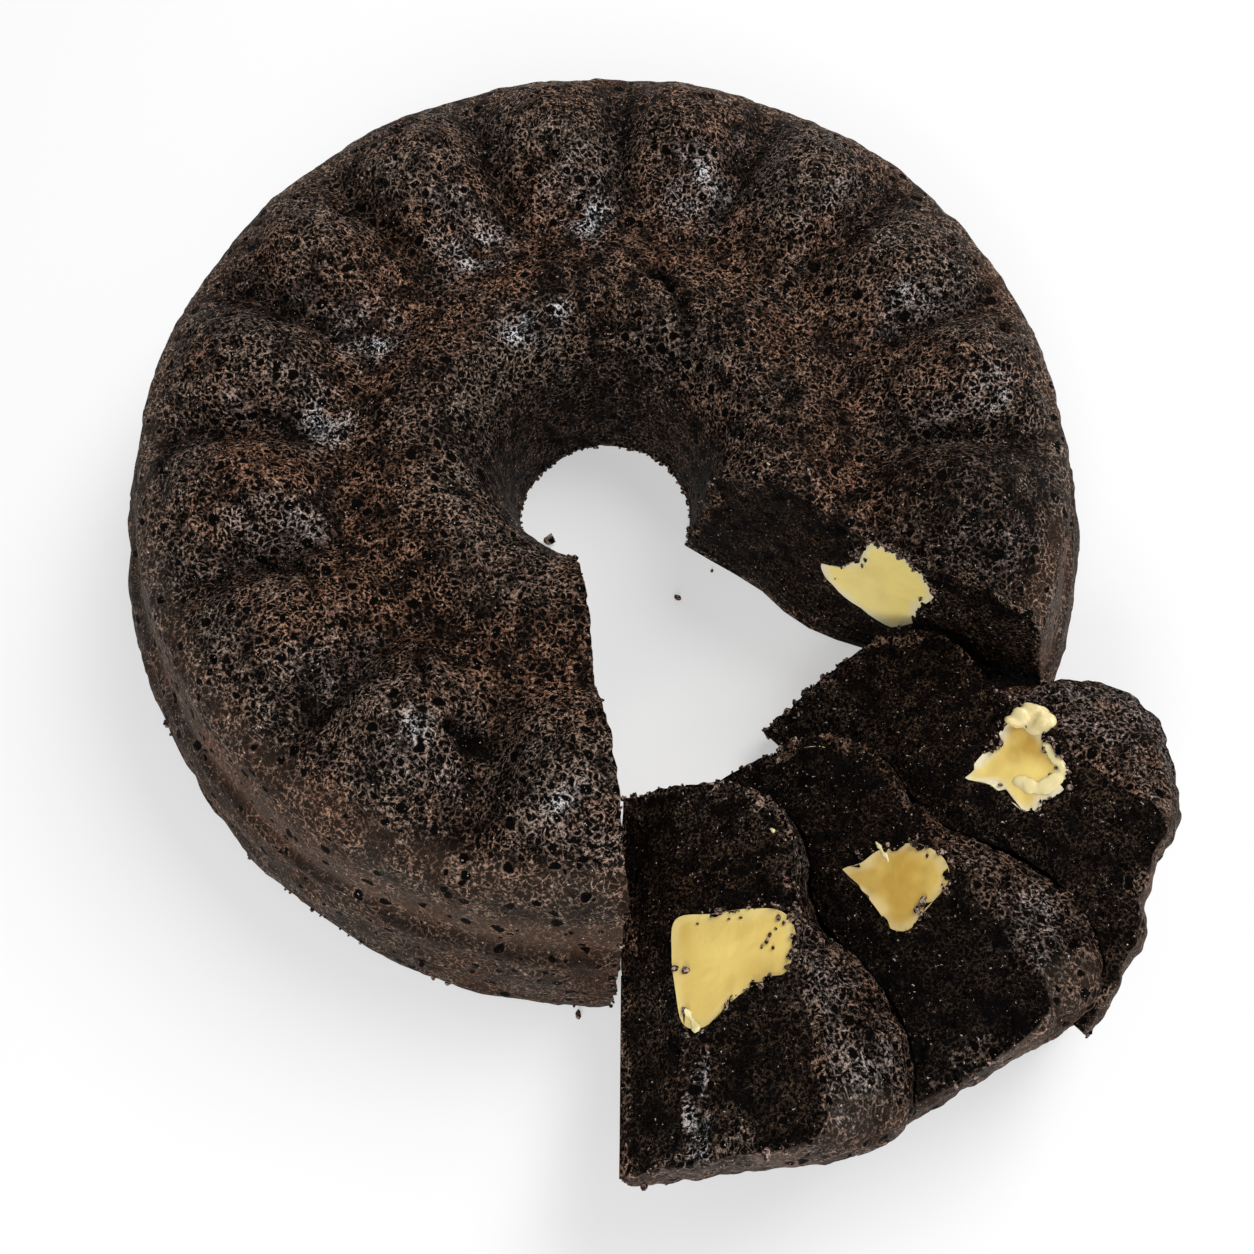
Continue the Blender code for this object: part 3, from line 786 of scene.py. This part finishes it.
def cut_clear(body, rooms):
    """Takes the neighbours' space out of a body and drops loose scraps."""
    for room in rooms:
        modifier = body.modifiers.new("clear", "BOOLEAN")
        modifier.operation = "DIFFERENCE"
        modifier.solver = "MANIFOLD"
        modifier.object = room
    mesh = take_modifiers(body)
    work = bmesh.new()
    work.from_mesh(mesh)
    unseen = set(work.verts)
    pieces = []
    while unseen:
        piece = {unseen.pop()}
        front = list(piece)
        while front:
            for edge in front.pop().link_edges:
                for other in edge.verts:
                    if other in unseen:
                        unseen.discard(other)
                        piece.add(other)
                        front.append(other)
        pieces.append(piece)
    pieces.sort(key=len, reverse=True)
    bmesh.ops.delete(work, geom=[vertex for piece in pieces[1:] for vertex in piece], context="VERTS")
    work.to_mesh(mesh)
    work.free()
    mesh.set_sharp_from_angle(angle=math.radians(SHARP_EDGE))


# Crumbs

CRUMB_COUNTS = {"ring_sponge": 420, "slice_1_sponge": 260, "slice_2_sponge": 240, "slice_3_sponge": 300,
                "ring_filling": 5, "slice_1_filling": 3, "slice_2_filling": 4, "slice_3_filling": 4}
FLOOR_CRUMBS = [(-13, -6, 1.3), (17, -20, 0.9), (25, -13, 0.5), (-3, -112, 0.8),
                (60, -116, 0.6)]           # x, y, radius, from the ring's centre
CRUMB_RADII = (0.25, 0.9)     # the smallest and the largest, small ones most often
CRUMB_LIFT = 0.2
# Crumbs dropped on slice 3's custard and elsewhere: the photograph's pixel and a radius
SEEN_CRUMBS = [(779, 918, 0.55), (767, 942, 0.65), (770, 935, 0.45), (784, 923, 0.4), (776, 929, 0.3),
               (799, 912, 0.5), (795, 904, 0.4), (788, 909, 0.45), (698, 924, 0.35), (791, 921, 0.3),
               (1056, 768, 0.4), (1050, 774, 0.3), (762, 947, 0.3), (773, 948, 0.35)]


def lump(rng, radius, dented):
    """Points and triangles of one crumb: a ball dented and stretched at random."""
    work = bmesh.new()
    bmesh.ops.create_icosphere(work, subdivisions=2, radius=1.0)
    points = np.array([vertex.co[:] for vertex in work.verts])
    faces = np.array([[vertex.index for vertex in face.verts] for face in work.faces])
    work.free()
    points *= 1.0 + dented * smooth_noise(points + rng.uniform(-90.0, 90.0, 3), 0.7, 5)[:, None]
    return points * rng.uniform(0.6, 1.15, 3) * radius, faces


def lumps_mesh(name, lumps):
    """One mesh, in metres, of lumps given as points in millimetres and triangles."""
    starts = np.cumsum([0] + [len(points) for points, _ in lumps])
    faces = np.concatenate([sides + start for (_, sides), start in zip(lumps, starts)])
    mesh = bpy.data.meshes.new(name)
    mesh.from_pydata((np.concatenate([points for points, _ in lumps]) * MM).tolist(), [], faces.tolist())
    return mesh


# A loose crumb's values for the sponge's finish
CRUMB_LOOKS = {"hollow": 0.0, "smooth": 0.25, "wet": 0.15, "tone": 0.3, "patchy": 1.1}
CRUMB_DENTS = 0.5             # depth of its dents against its radius


def make_crumbs(name, seats, seed, materials):
    """Loose crumbs in one piece, each at its seat: a place and a radius, in millimetres."""
    rng = np.random.default_rng(seed)
    lumps = []
    for place, radius in seats:
        crumb, sides = lump(rng, radius, CRUMB_DENTS)
        crumb = crumb + place
        crumb[:, 2] = np.maximum(crumb[:, 2], 0.0)
        lumps.append((crumb, sides))
    mesh = lumps_mesh(name, lumps)
    mesh.polygons.foreach_set("use_smooth", np.ones(len(mesh.polygons), bool))
    for kind, value in CRUMB_LOOKS.items():
        store(mesh, kind, np.full(len(mesh.vertices), value))
    return in_scene(name, mesh, materials)


# Custard wiped over the sponge and folds in it: the photograph's pixels along it, half width, thickness
SMEARS = [
    ([(1014, 722), (1021, 716), (1031, 712), (1041, 714), (1046, 721), (1039, 728), (1029, 724)], 2.0, 0.9),
    ([(1019, 781), (1029, 786), (1040, 789), (1050, 785), (1058, 777)], 1.6, 0.5),       # slice 1, fold
    ([(1045, 744), (1051, 753), (1059, 763), (1065, 774)], 1.0, 0.4),                    # slice 1, veil
    ([(800, 749), (808, 747), (818, 746), (827, 748)], 0.3, 0.2),                        # slice 2, ridge
    ([(876, 842), (884, 853), (889, 862)], 0.6, 0.3),                                    # slice 2, fold
    ([(771, 829), (775, 832)], 0.5, 0.4),                                                # slice 3, crumb
    ([(686, 1010), (692, 1020), (697, 1030)], 0.8, 0.3),                                 # slice 3, tip
    ([(747, 452), (760, 459), (772, 466)], 0.35, 0.25),                                  # ring, streak
]
SMEAR_VOXEL = 0.25            # finest form of the wiped custard
SMEAR_LUMPS = 5               # lumps from one pixel of a run to the next
SMEAR_DENTS = 0.15
SMEAR_SOFTENING = 6           # rounds of smoothing
SMEAR_LOOKS = {"rim": 0.45, "tone": 0.7}


def seen_at(x, y):
    """Place and normal, in millimetres, of what the camera sees at a pixel of the photograph."""
    camera = bpy.context.scene.camera
    half = PHOTO_WIDTH / 2
    reach = camera.data.sensor_width / (2 * camera.data.lens * half)
    towards = camera.matrix_world.to_3x3() @ Vector(((x - half) * reach, (half - y) * reach, -1.0))
    depsgraph = bpy.context.evaluated_depsgraph_get()
    hit, place, normal, *_ = bpy.context.scene.ray_cast(depsgraph, camera.matrix_world.translation, towards)
    if not hit:
        raise RuntimeError("nothing is seen at %s, %s" % (x, y))
    return np.array(place) / MM, np.array(normal)


def make_smears(name, material):
    """All the wiped custard in one piece: runs of flat lumps that lie on what carries them."""
    rng = np.random.default_rng(SMEAR_SEED)
    lumps = []
    for pixels, width, thickness in SMEARS:
        for start, end in zip(pixels, pixels[1:]):
            for step in range(SMEAR_LUMPS):
                place, normal = seen_at(*(a + (b - a) * (step / SMEAR_LUMPS) for a, b in zip(start, end)))
                crumb, sides = lump(rng, width * rng.uniform(0.8, 1.15), SMEAR_DENTS)
                outward = (crumb @ normal)[:, None] * normal
                lumps.append((place + crumb - outward * (1.0 - thickness / width), sides))
    smears = in_scene(name, lumps_mesh(name, lumps), [])
    merge = smears.modifiers.new("merge", "REMESH")
    merge.mode = "VOXEL"
    merge.voxel_size = SMEAR_VOXEL * MM
    merge.use_smooth_shade = True
    smears.modifiers.new("soften", "SMOOTH").iterations = SMEAR_SOFTENING
    mesh = take_modifiers(smears)
    for kind, value in SMEAR_LOOKS.items():
        store(mesh, kind, np.full(len(mesh.vertices), value))
    mesh.materials.append(material)
    return smears


def crumb_seats(body, count, rng):
    """Seats on a sponge or custard where its crumbs are loose."""
    mesh = body.data
    points = np.zeros(len(mesh.vertices) * 3, np.float32)
    chance = np.zeros(len(mesh.vertices), np.float32)
    mesh.vertices.foreach_get("co", points)
    mesh.attributes["crumbs"].data.foreach_get("value", chance)
    points = points.reshape(-1, 3) / MM
    chance = np.clip(chance, 0.0, None).astype(float)
    chosen = rng.choice(len(points), count, p=chance / chance.sum())
    lift = vertex_normals(mesh)[chosen] * CRUMB_LIFT
    small, large = CRUMB_RADII
    radii = small + (large - small) * rng.random(count) ** 3
    return list(zip(points[chosen] + lift, radii))


# Materials

def linear(code):
    """Linear colour from an sRGB hex value."""
    parts = [int(code[index:index + 2], 16) / 255 for index in (1, 3, 5)]
    return (*(part / 12.92 if part <= 0.04045 else ((part + 0.055) / 1.055) ** 2.4 for part in parts), 1.0)


def node(tree, kind, inputs=(), output=None, **settings):
    """Adds a node, sets its settings, sets or links its inputs, and returns its named or first output.

    Inputs are given by name, or in order: a map range's are value, from low, from high, to low, to high.
    """
    made = tree.nodes.new("ShaderNode" + kind)
    for name, value in settings.items():
        setattr(made, name, value)
    for name, value in inputs.items() if isinstance(inputs, dict) else enumerate(inputs):
        if isinstance(value, bpy.types.NodeSocket):
            tree.links.new(value, made.inputs[name])
        else:
            made.inputs[name].default_value = value
    live = [socket for socket in made.outputs if socket.enabled]
    return made.outputs[output] if output else live[0] if live else None


def new_material(name):
    """A blank material with its node tree, its shader and a point's place in millimetres."""
    material = bpy.data.materials.new(name)
    material.use_nodes = True
    tree = material.node_tree
    tree.nodes.clear()
    surface = node(tree, "BsdfPrincipled")
    node(tree, "OutputMaterial", {"Surface": surface})
    place = node(tree, "TexCoord", output="Object")
    place = node(tree, "VectorMath", {0: place, "Scale": 1.0 / MM}, operation="SCALE")
    return material, tree, surface.node, place


STARCH_GRAIN = 0.65           # drawn coarser than it is, to show
CUSTARD_GRAIN = 1.2           # soft unevenness of the cut custard
# Painted shade in the pores and hollows
PAINTED_PORE_SHADE = "#060403"
# Pale specks painted as glints, in place of highlights
GLINT = "#c4b8ae"


def sponge_material(name, cell_size, pore_size, dark, brown, pale, painted_sheen_grey, roughness, painted_glint_limit, depth):
    """Steamed sponge of black glutinous rice flour: a moist foam, whose thin cell walls catch the light
    and whose pores are painted black as shade; painted sheen and painted glints stand in for its highlights."""
    material, tree, shader, place = new_material(name)
    hollow, smooth, wet, tone, patchy = (
        node(tree, "Attribute", output="Fac", attribute_name=kind)
        for kind in ("hollow", "smooth", "wet", "tone", "patchy"))

    # Foam: bent cells with thin walls, round pores of many sizes, and threads across them
    bend = node(tree, "TexNoise", {"Vector": place, "Scale": 0.8 / cell_size, "Detail": 0.0}, "Color")
    bent = node(tree, "VectorMath", (bend, (cell_size,) * 3, place), operation="MULTIPLY_ADD")
    foam = node(tree, "TexVoronoi", {"Vector": bent, "Scale": 1.0 / cell_size}, feature="DISTANCE_TO_EDGE")
    walls = node(tree, "MapRange", (foam, 0.02, 0.12, 1.0, 0.0))
    bubbles = node(tree, "TexVoronoi", {"Vector": bent, "Scale": 1.0 / pore_size}, feature="F1")
    chance = node(tree, "SeparateColor", {"Color": bubbles.node.outputs["Color"]})
    bubble = node(tree, "MapRange", (chance, 0.2, 1.0, -0.05, 0.46))
    below = node(tree, "Math", (bubble, bubbles), operation="SUBTRACT")
    pore = node(tree, "MapRange", (below, -0.03, 0.05))
    rim = node(tree, "MapRange", (below, -0.2, -0.05))
    strands = node(tree, "TexNoise", {"Vector": place, "Scale": 1.0 / (0.8 * cell_size), "Detail": 1.0})
    off = node(tree, "Math", (strands, 0.5), operation="SUBTRACT")
    off = node(tree, "Math", (off,), operation="ABSOLUTE")
    threads = node(tree, "MapRange", (off, 0.008, 0.05, 0.65, 0.0))
    grain = node(tree, "TexNoise", {"Vector": place, "Scale": 1.0 / STARCH_GRAIN, "Detail": 2.0,
                                    "Roughness": 0.7})

    # Colour: lit walls on a dark crumb, browner or paler by region. Painted shade blackens the pores and
    # hollows and dims the walls in the valleys, the hole, the outer wall and on the slices; a painted sheen
    # makes them brighter and bluish white on the glossy patches
    lit = node(tree, "Math", (walls, threads), operation="MAXIMUM")
    lit = node(tree, "Math", (lit, rim), operation="MAXIMUM")
    uneven = node(tree, "MapRange", (grain, 0.42, 0.62, 0.02, 1.0))
    sheen = node(tree, "Math", (wet, 1.6, 1.0), operation="MULTIPLY_ADD")
    for share in (uneven, patchy, sheen):
        lit = node(tree, "Math", (lit, share), operation="MULTIPLY")
    filled = node(tree, "Math", (smooth, 0.16, lit), operation="MULTIPLY_ADD", use_clamp=True)
    pore_and_hollow_shade = node(tree, "Math", (pore, hollow), operation="MAXIMUM", use_clamp=True)
    # Painted glints: pale specks that stand in for highlights, closer together on the glossy patches
    glint_limit = node(tree, "Math", (wet, -0.07, painted_glint_limit), operation="MULTIPLY_ADD")
    over = node(tree, "Math", (grain, glint_limit), operation="SUBTRACT")
    glint = node(tree, "MapRange", (over, 0.0, 0.03))
    wall = linear(brown)
    for share, colour in ((tone, pale), (wet, painted_sheen_grey)):
        wall = node(tree, "Mix", {"Factor": share, "A": wall, "B": linear(colour)}, data_type="RGBA")
    crumb = node(tree, "Mix", {"Factor": filled, "A": linear(dark), "B": wall}, data_type="RGBA")
    for share, colour in ((pore_and_hollow_shade, PAINTED_PORE_SHADE), (glint, GLINT)):
        crumb = node(tree, "Mix", {"Factor": share, "A": crumb, "B": linear(colour)}, data_type="RGBA")

    relief = node(tree, "Math", (threads, 0.4, grain), operation="MULTIPLY_ADD")
    relief = node(tree, "Math", (pore, -1.1, relief), operation="MULTIPLY_ADD")
    bump = node(tree, "Bump", {"Height": relief, "Strength": 1.0, "Distance": depth * MM})
    shine = node(tree, "MapRange", {"Value": wet, "To Min": roughness, "To Max": 0.3})
    tree.links.new(crumb, shader.inputs["Base Color"])
    tree.links.new(shine, shader.inputs["Roughness"])
    tree.links.new(bump, shader.inputs["Normal"])
    shader.inputs["Specular IOR Level"].default_value = SPONGE_SPECULAR
    return material


def custard_material(name):
    """Cooked egg custard, set and sliced: smooth, moist and slightly see-through, deeper yellow inside."""
    material, tree, shader, place = new_material(name)
    tone, rim = (node(tree, "Attribute", output="Fac", attribute_name=kind) for kind in ("tone", "rim"))
    colour = node(tree, "Mix", {"Factor": tone, "A": linear("#be993e"), "B": linear("#ffe68a")},
                  data_type="RGBA")
    colour = node(tree, "Mix", {"Factor": rim, "A": colour, "B": linear("#efe6c6")}, data_type="RGBA")
    grain = node(tree, "TexNoise", {"Vector": place, "Scale": 1.0 / CUSTARD_GRAIN, "Detail": 3.0})
    bump = node(tree, "Bump", {"Height": grain, "Strength": 0.35, "Distance": 0.3 * MM})
    tree.links.new(colour, shader.inputs["Base Color"])
    tree.links.new(bump, shader.inputs["Normal"])
    for socket, value in (("Roughness", 0.34), ("Subsurface Weight", 0.25),
                          ("Subsurface Radius", (1.0, 0.7, 0.3)), ("Subsurface Scale", 2.0 * MM)):
        shader.inputs[socket].default_value = value
    return material


SPONGES = {
    "steamed black rice sponge, open crumb": dict(
        cell_size=1.65, pore_size=2.7, dark="#060403", brown="#b4876c", pale="#ab9483", painted_sheen_grey="#eceff2",
        roughness=0.55, painted_glint_limit=0.69, depth=0.6),
    "steamed black rice sponge, knife cut": dict(
        cell_size=1.0, pore_size=1.6, dark="#050303", brown="#54402f", pale="#5c4d40", painted_sheen_grey="#8a8c8e",
        roughness=0.6, painted_glint_limit=0.7, depth=0.35),
}
CUSTARD = "set egg custard"
SPONGE_SPECULAR = 0.03


def shared_materials():
    """Skin, cut face and custard, made on first use."""
    if CUSTARD not in bpy.data.materials:
        for name, values in SPONGES.items():
            sponge_material(name, **values)
        custard_material(CUSTARD)
    return [bpy.data.materials[name] for name in (*SPONGES, CUSTARD)]


# Floor and light: glow of the floor, strength of the room, soft boxes as name, place, size, watts
FLOOR_GLOW = 0.445
ROOM_LIGHT = 0.42
LIGHTS = [("window box", (0.5, 0.5, 0.85), 0.6, 9.0), ("front box", (-0.2, -0.85, 0.55), 0.5, 5.0)]


# How the grids are laid: their length along the cake, rings across a cut face and through the tunnel,
# points round the filling, and the random seeds of each piece
RING_LENGTH, RING_FACE_RINGS, RING_TUNNEL_RINGS, RING_FILLING_RINGS = 470.0, 36, 40, 60
SLICE_LENGTH, SLICE_FACE_WIDTH, SLICE_TUNNEL_RINGS = 33.0, 26.0, 6
FILLING_POINTS, FILLING_FACE_RINGS = 96, 12
RING_SEED, RING_FILLING_SEED, SLICE_SEED, SLICE_FILLING_SEED = 11, 31, 40, 80
SEAT_SEED, CRUMB_SEED, SMEAR_SEED = 7, 8, 23


# Operators

class RingCakeSettings(bpy.types.PropertyGroup):
    """Sizes and colours of the cake's looks."""

    grid_spacing: bpy.props.FloatProperty(
        name="Ring grid spacing", description="Distance between points of the ring's surface, in millimetres",
        default=0.85, min=0.6, max=4.0)
    slice_spacing: bpy.props.FloatProperty(
        name="Slice grid spacing", description="Distance between points of a slice's surface, in millimetres",
        default=0.55, min=0.5, max=4.0)
    floor_size: bpy.props.FloatProperty(
        name="Floor size", description="Width of the pale floor", default=3.0, unit="LENGTH")
    floor_colour: bpy.props.FloatVectorProperty(
        name="Floor colour", description="Colour of the pale floor", default=linear("#bcbcbc")[:3], size=3,
        subtype="COLOR")


class RINGCAKE_OT_ring(bpy.types.Operator):
    """Makes the ring of sponge and the custard that runs round inside it"""

    bl_idname = "ringcake.ring"
    bl_label = "Ring"

    def execute(self, context):
        settings = context.scene.ring_cake
        spacing = settings.grid_spacing
        *sponge_finishes, custard_finish = shared_materials()
        sponge = make_sponge("ring_sponge", Ring, RING_CUT_FILLING, spacing, round(RING_LENGTH / spacing),
                             RING_FACE_RINGS, RING_TUNNEL_RINGS, RING_SEED, sponge_finishes, WET_AND_PAINTED_SHEEN_PATCHES)
        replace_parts(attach(sponge, "root"), "ring")
        custard = make_filling("ring_filling", Ring, RING_CUT_FILLING, FILLING_POINTS, FILLING_FACE_RINGS,
                               RING_FILLING_RINGS, RING_FILLING_SEED, [custard_finish])
        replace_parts(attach(custard, "root"), "ring_custard")
        return {"FINISHED"}


class RINGCAKE_OT_slices(bpy.types.Operator):
    """Makes the three toppled slices with their custard"""

    bl_idname = "ringcake.slices"
    bl_label = "Slices"

    def execute(self, context):
        spacing = context.scene.ring_cake.slice_spacing
        *sponge_finishes, custard_finish = shared_materials()
        rooms = [make_room(Ring, "ring_room")]
        for number, data in enumerate(SLICES):
            name = data["name"]
            form = Slice(data)
            sponge = make_sponge(name + "_sponge", form, data["filling"], spacing,
                                 round(SLICE_LENGTH / spacing), round(SLICE_FACE_WIDTH / spacing),
                                 SLICE_TUNNEL_RINGS, SLICE_SEED + 10 * number, sponge_finishes,
                                 SLICE_WET_AND_PAINTED_SHEEN_PATCHES[name])
            custard = make_filling(name + "_filling", form, data["filling"], FILLING_POINTS,
                                   FILLING_FACE_RINGS, SLICE_TUNNEL_RINGS, SLICE_FILLING_SEED + number,
                                   [custard_finish])
            for body, slot, stands_for in ((sponge, "dark_rice_sponge", name),
                                           (custard, "custard_filling", name + "_custard")):
                cut_clear(body, rooms)
                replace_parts(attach(body, "root"), stands_for)
            rooms.append(make_room(form, name + "_room"))
        for room in rooms:
            bpy.data.objects.remove(room)
        return {"FINISHED"}


class RINGCAKE_OT_crumbs(bpy.types.Operator):
    """Scatters loose crumbs over the cut edges and the table, and wipes custard over the sponge"""

    bl_idname = "ringcake.crumbs"
    bl_label = "Crumbs"

    def execute(self, context):
        rng = np.random.default_rng(SEAT_SEED)
        seats = []
        for body, count in CRUMB_COUNTS.items():
            seats += crumb_seats(bpy.data.objects[body], count, rng)
        for x, y, radius in SEEN_CRUMBS:
            place, normal = seen_at(x, y)
            seats.append((place + 0.3 * radius * normal, radius))
        for x, y, radius in FLOOR_CRUMBS:
            seats.append((np.array([x + RING_CENTRE[0], y + RING_CENTRE[1], 0.6 * radius]), radius))
        crumbs = make_crumbs("loose_crumbs", seats, CRUMB_SEED, shared_materials()[:1])
        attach(crumbs, "root")
        smears = make_smears("custard_smears", shared_materials()[2])
        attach(smears, "root")
        return {"FINISHED"}


class RINGCAKE_OT_stage(bpy.types.Operator):
    """Makes the pale floor, the soft light and the camera"""

    bl_idname = "ringcake.stage"
    bl_label = "Floor, light and camera"

    def execute(self, context):
        settings = context.scene.ring_cake
        make_floor(settings.floor_size, settings.floor_colour)
        make_light()
        make_camera()
        return {"FINISHED"}


def make_floor(size, colour):
    """A matt white worktop, lit from below so that shadows on it stay faint."""
    bpy.ops.mesh.primitive_plane_add(size=size, location=(0.0, 0.0, -0.0002))
    floor = bpy.context.active_object
    floor.name = "floor"
    material, _, shader, _ = new_material("backlit white acrylic worktop")
    for socket, value in (("Base Color", (*colour, 1.0)), ("Roughness", 0.85), ("Specular IOR Level", 0.1),
                          ("Emission Color", linear("#fdfdfd")), ("Emission Strength", FLOOR_GLOW)):
        shader.inputs[socket].default_value = value
    floor.data.materials.append(material)


def make_light():
    """Two large soft boxes above, and a bright plain room round them."""
    scene = bpy.context.scene
    scene.view_settings.view_transform = "Standard"
    world = bpy.data.worlds.new("bright room")
    scene.world = world
    world.use_nodes = True
    sky = world.node_tree.nodes["Background"]
    sky.inputs["Color"].default_value = linear("#fbfbff")
    sky.inputs["Strength"].default_value = ROOM_LIGHT
    for name, place, size, power in LIGHTS:
        light = bpy.data.lights.new(name, "AREA")
        light.shape = "SQUARE"
        light.size = size
        light.energy = power
        lamp = bpy.data.objects.new(name, light)
        lamp.location = place
        lamp.rotation_euler = Vector(place).to_track_quat("Z", "Y").to_euler()
        scene.collection.objects.link(lamp)


def make_camera():
    """The photograph's view, from in front and above."""
    pitch = math.radians(CAMERA_PITCH)
    roll = math.radians(CAMERA_ROLL)
    look = Vector((0.0, math.cos(pitch), -math.sin(pitch)))
    right = Vector((1.0, 0.0, 0.0))
    up = Vector((0.0, math.sin(pitch), math.cos(pitch)))
    turned_right = right * math.cos(roll) + up * math.sin(roll)
    turned_up = up * math.cos(roll) - right * math.sin(roll)
    data = bpy.data.cameras.new("camera")
    data.lens = CAMERA_LENS
    data.sensor_width = 36.0
    data.clip_start = 0.01
    camera = bpy.data.objects.new("camera", data)
    camera.matrix_world = Matrix((turned_right, turned_up, -look)).transposed().to_4x4()
    camera.location = (Vector(CAMERA_PLACE) + Vector((*RING_CENTRE, 0.0))) * MM
    bpy.context.scene.collection.objects.link(camera)
    bpy.context.scene.camera = camera


class RINGCAKE_PT_panel(bpy.types.Panel):
    """Lists the cake's pieces in the sidebar"""

    bl_idname = "RINGCAKE_PT_panel"
    bl_label = "Ring Cake"
    bl_space_type = "VIEW_3D"
    bl_region_type = "UI"
    bl_category = "Ring Cake"

    def draw(self, context):
        settings = context.scene.ring_cake
        for name in ("grid_spacing", "slice_spacing", "floor_size", "floor_colour"):
            self.layout.prop(settings, name)
        for operator in OPERATORS:
            self.layout.operator(operator.bl_idname)


OPERATORS = (RINGCAKE_OT_stage, RINGCAKE_OT_ring, RINGCAKE_OT_slices, RINGCAKE_OT_crumbs)
CLASSES = (RingCakeSettings, *OPERATORS, RINGCAKE_PT_panel)


def register():
    for made in CLASSES:
        bpy.utils.register_class(made)
    bpy.types.Scene.ring_cake = bpy.props.PointerProperty(type=RingCakeSettings)


def unregister():
    del bpy.types.Scene.ring_cake
    for made in reversed(CLASSES):
        bpy.utils.unregister_class(made)


def main():
    register()
    bpy.ops.ringcake.stage()
    bpy.ops.ringcake.ring()
    bpy.ops.ringcake.slices()
    bpy.ops.ringcake.crumbs()


if __name__ == "__main__":
    main()
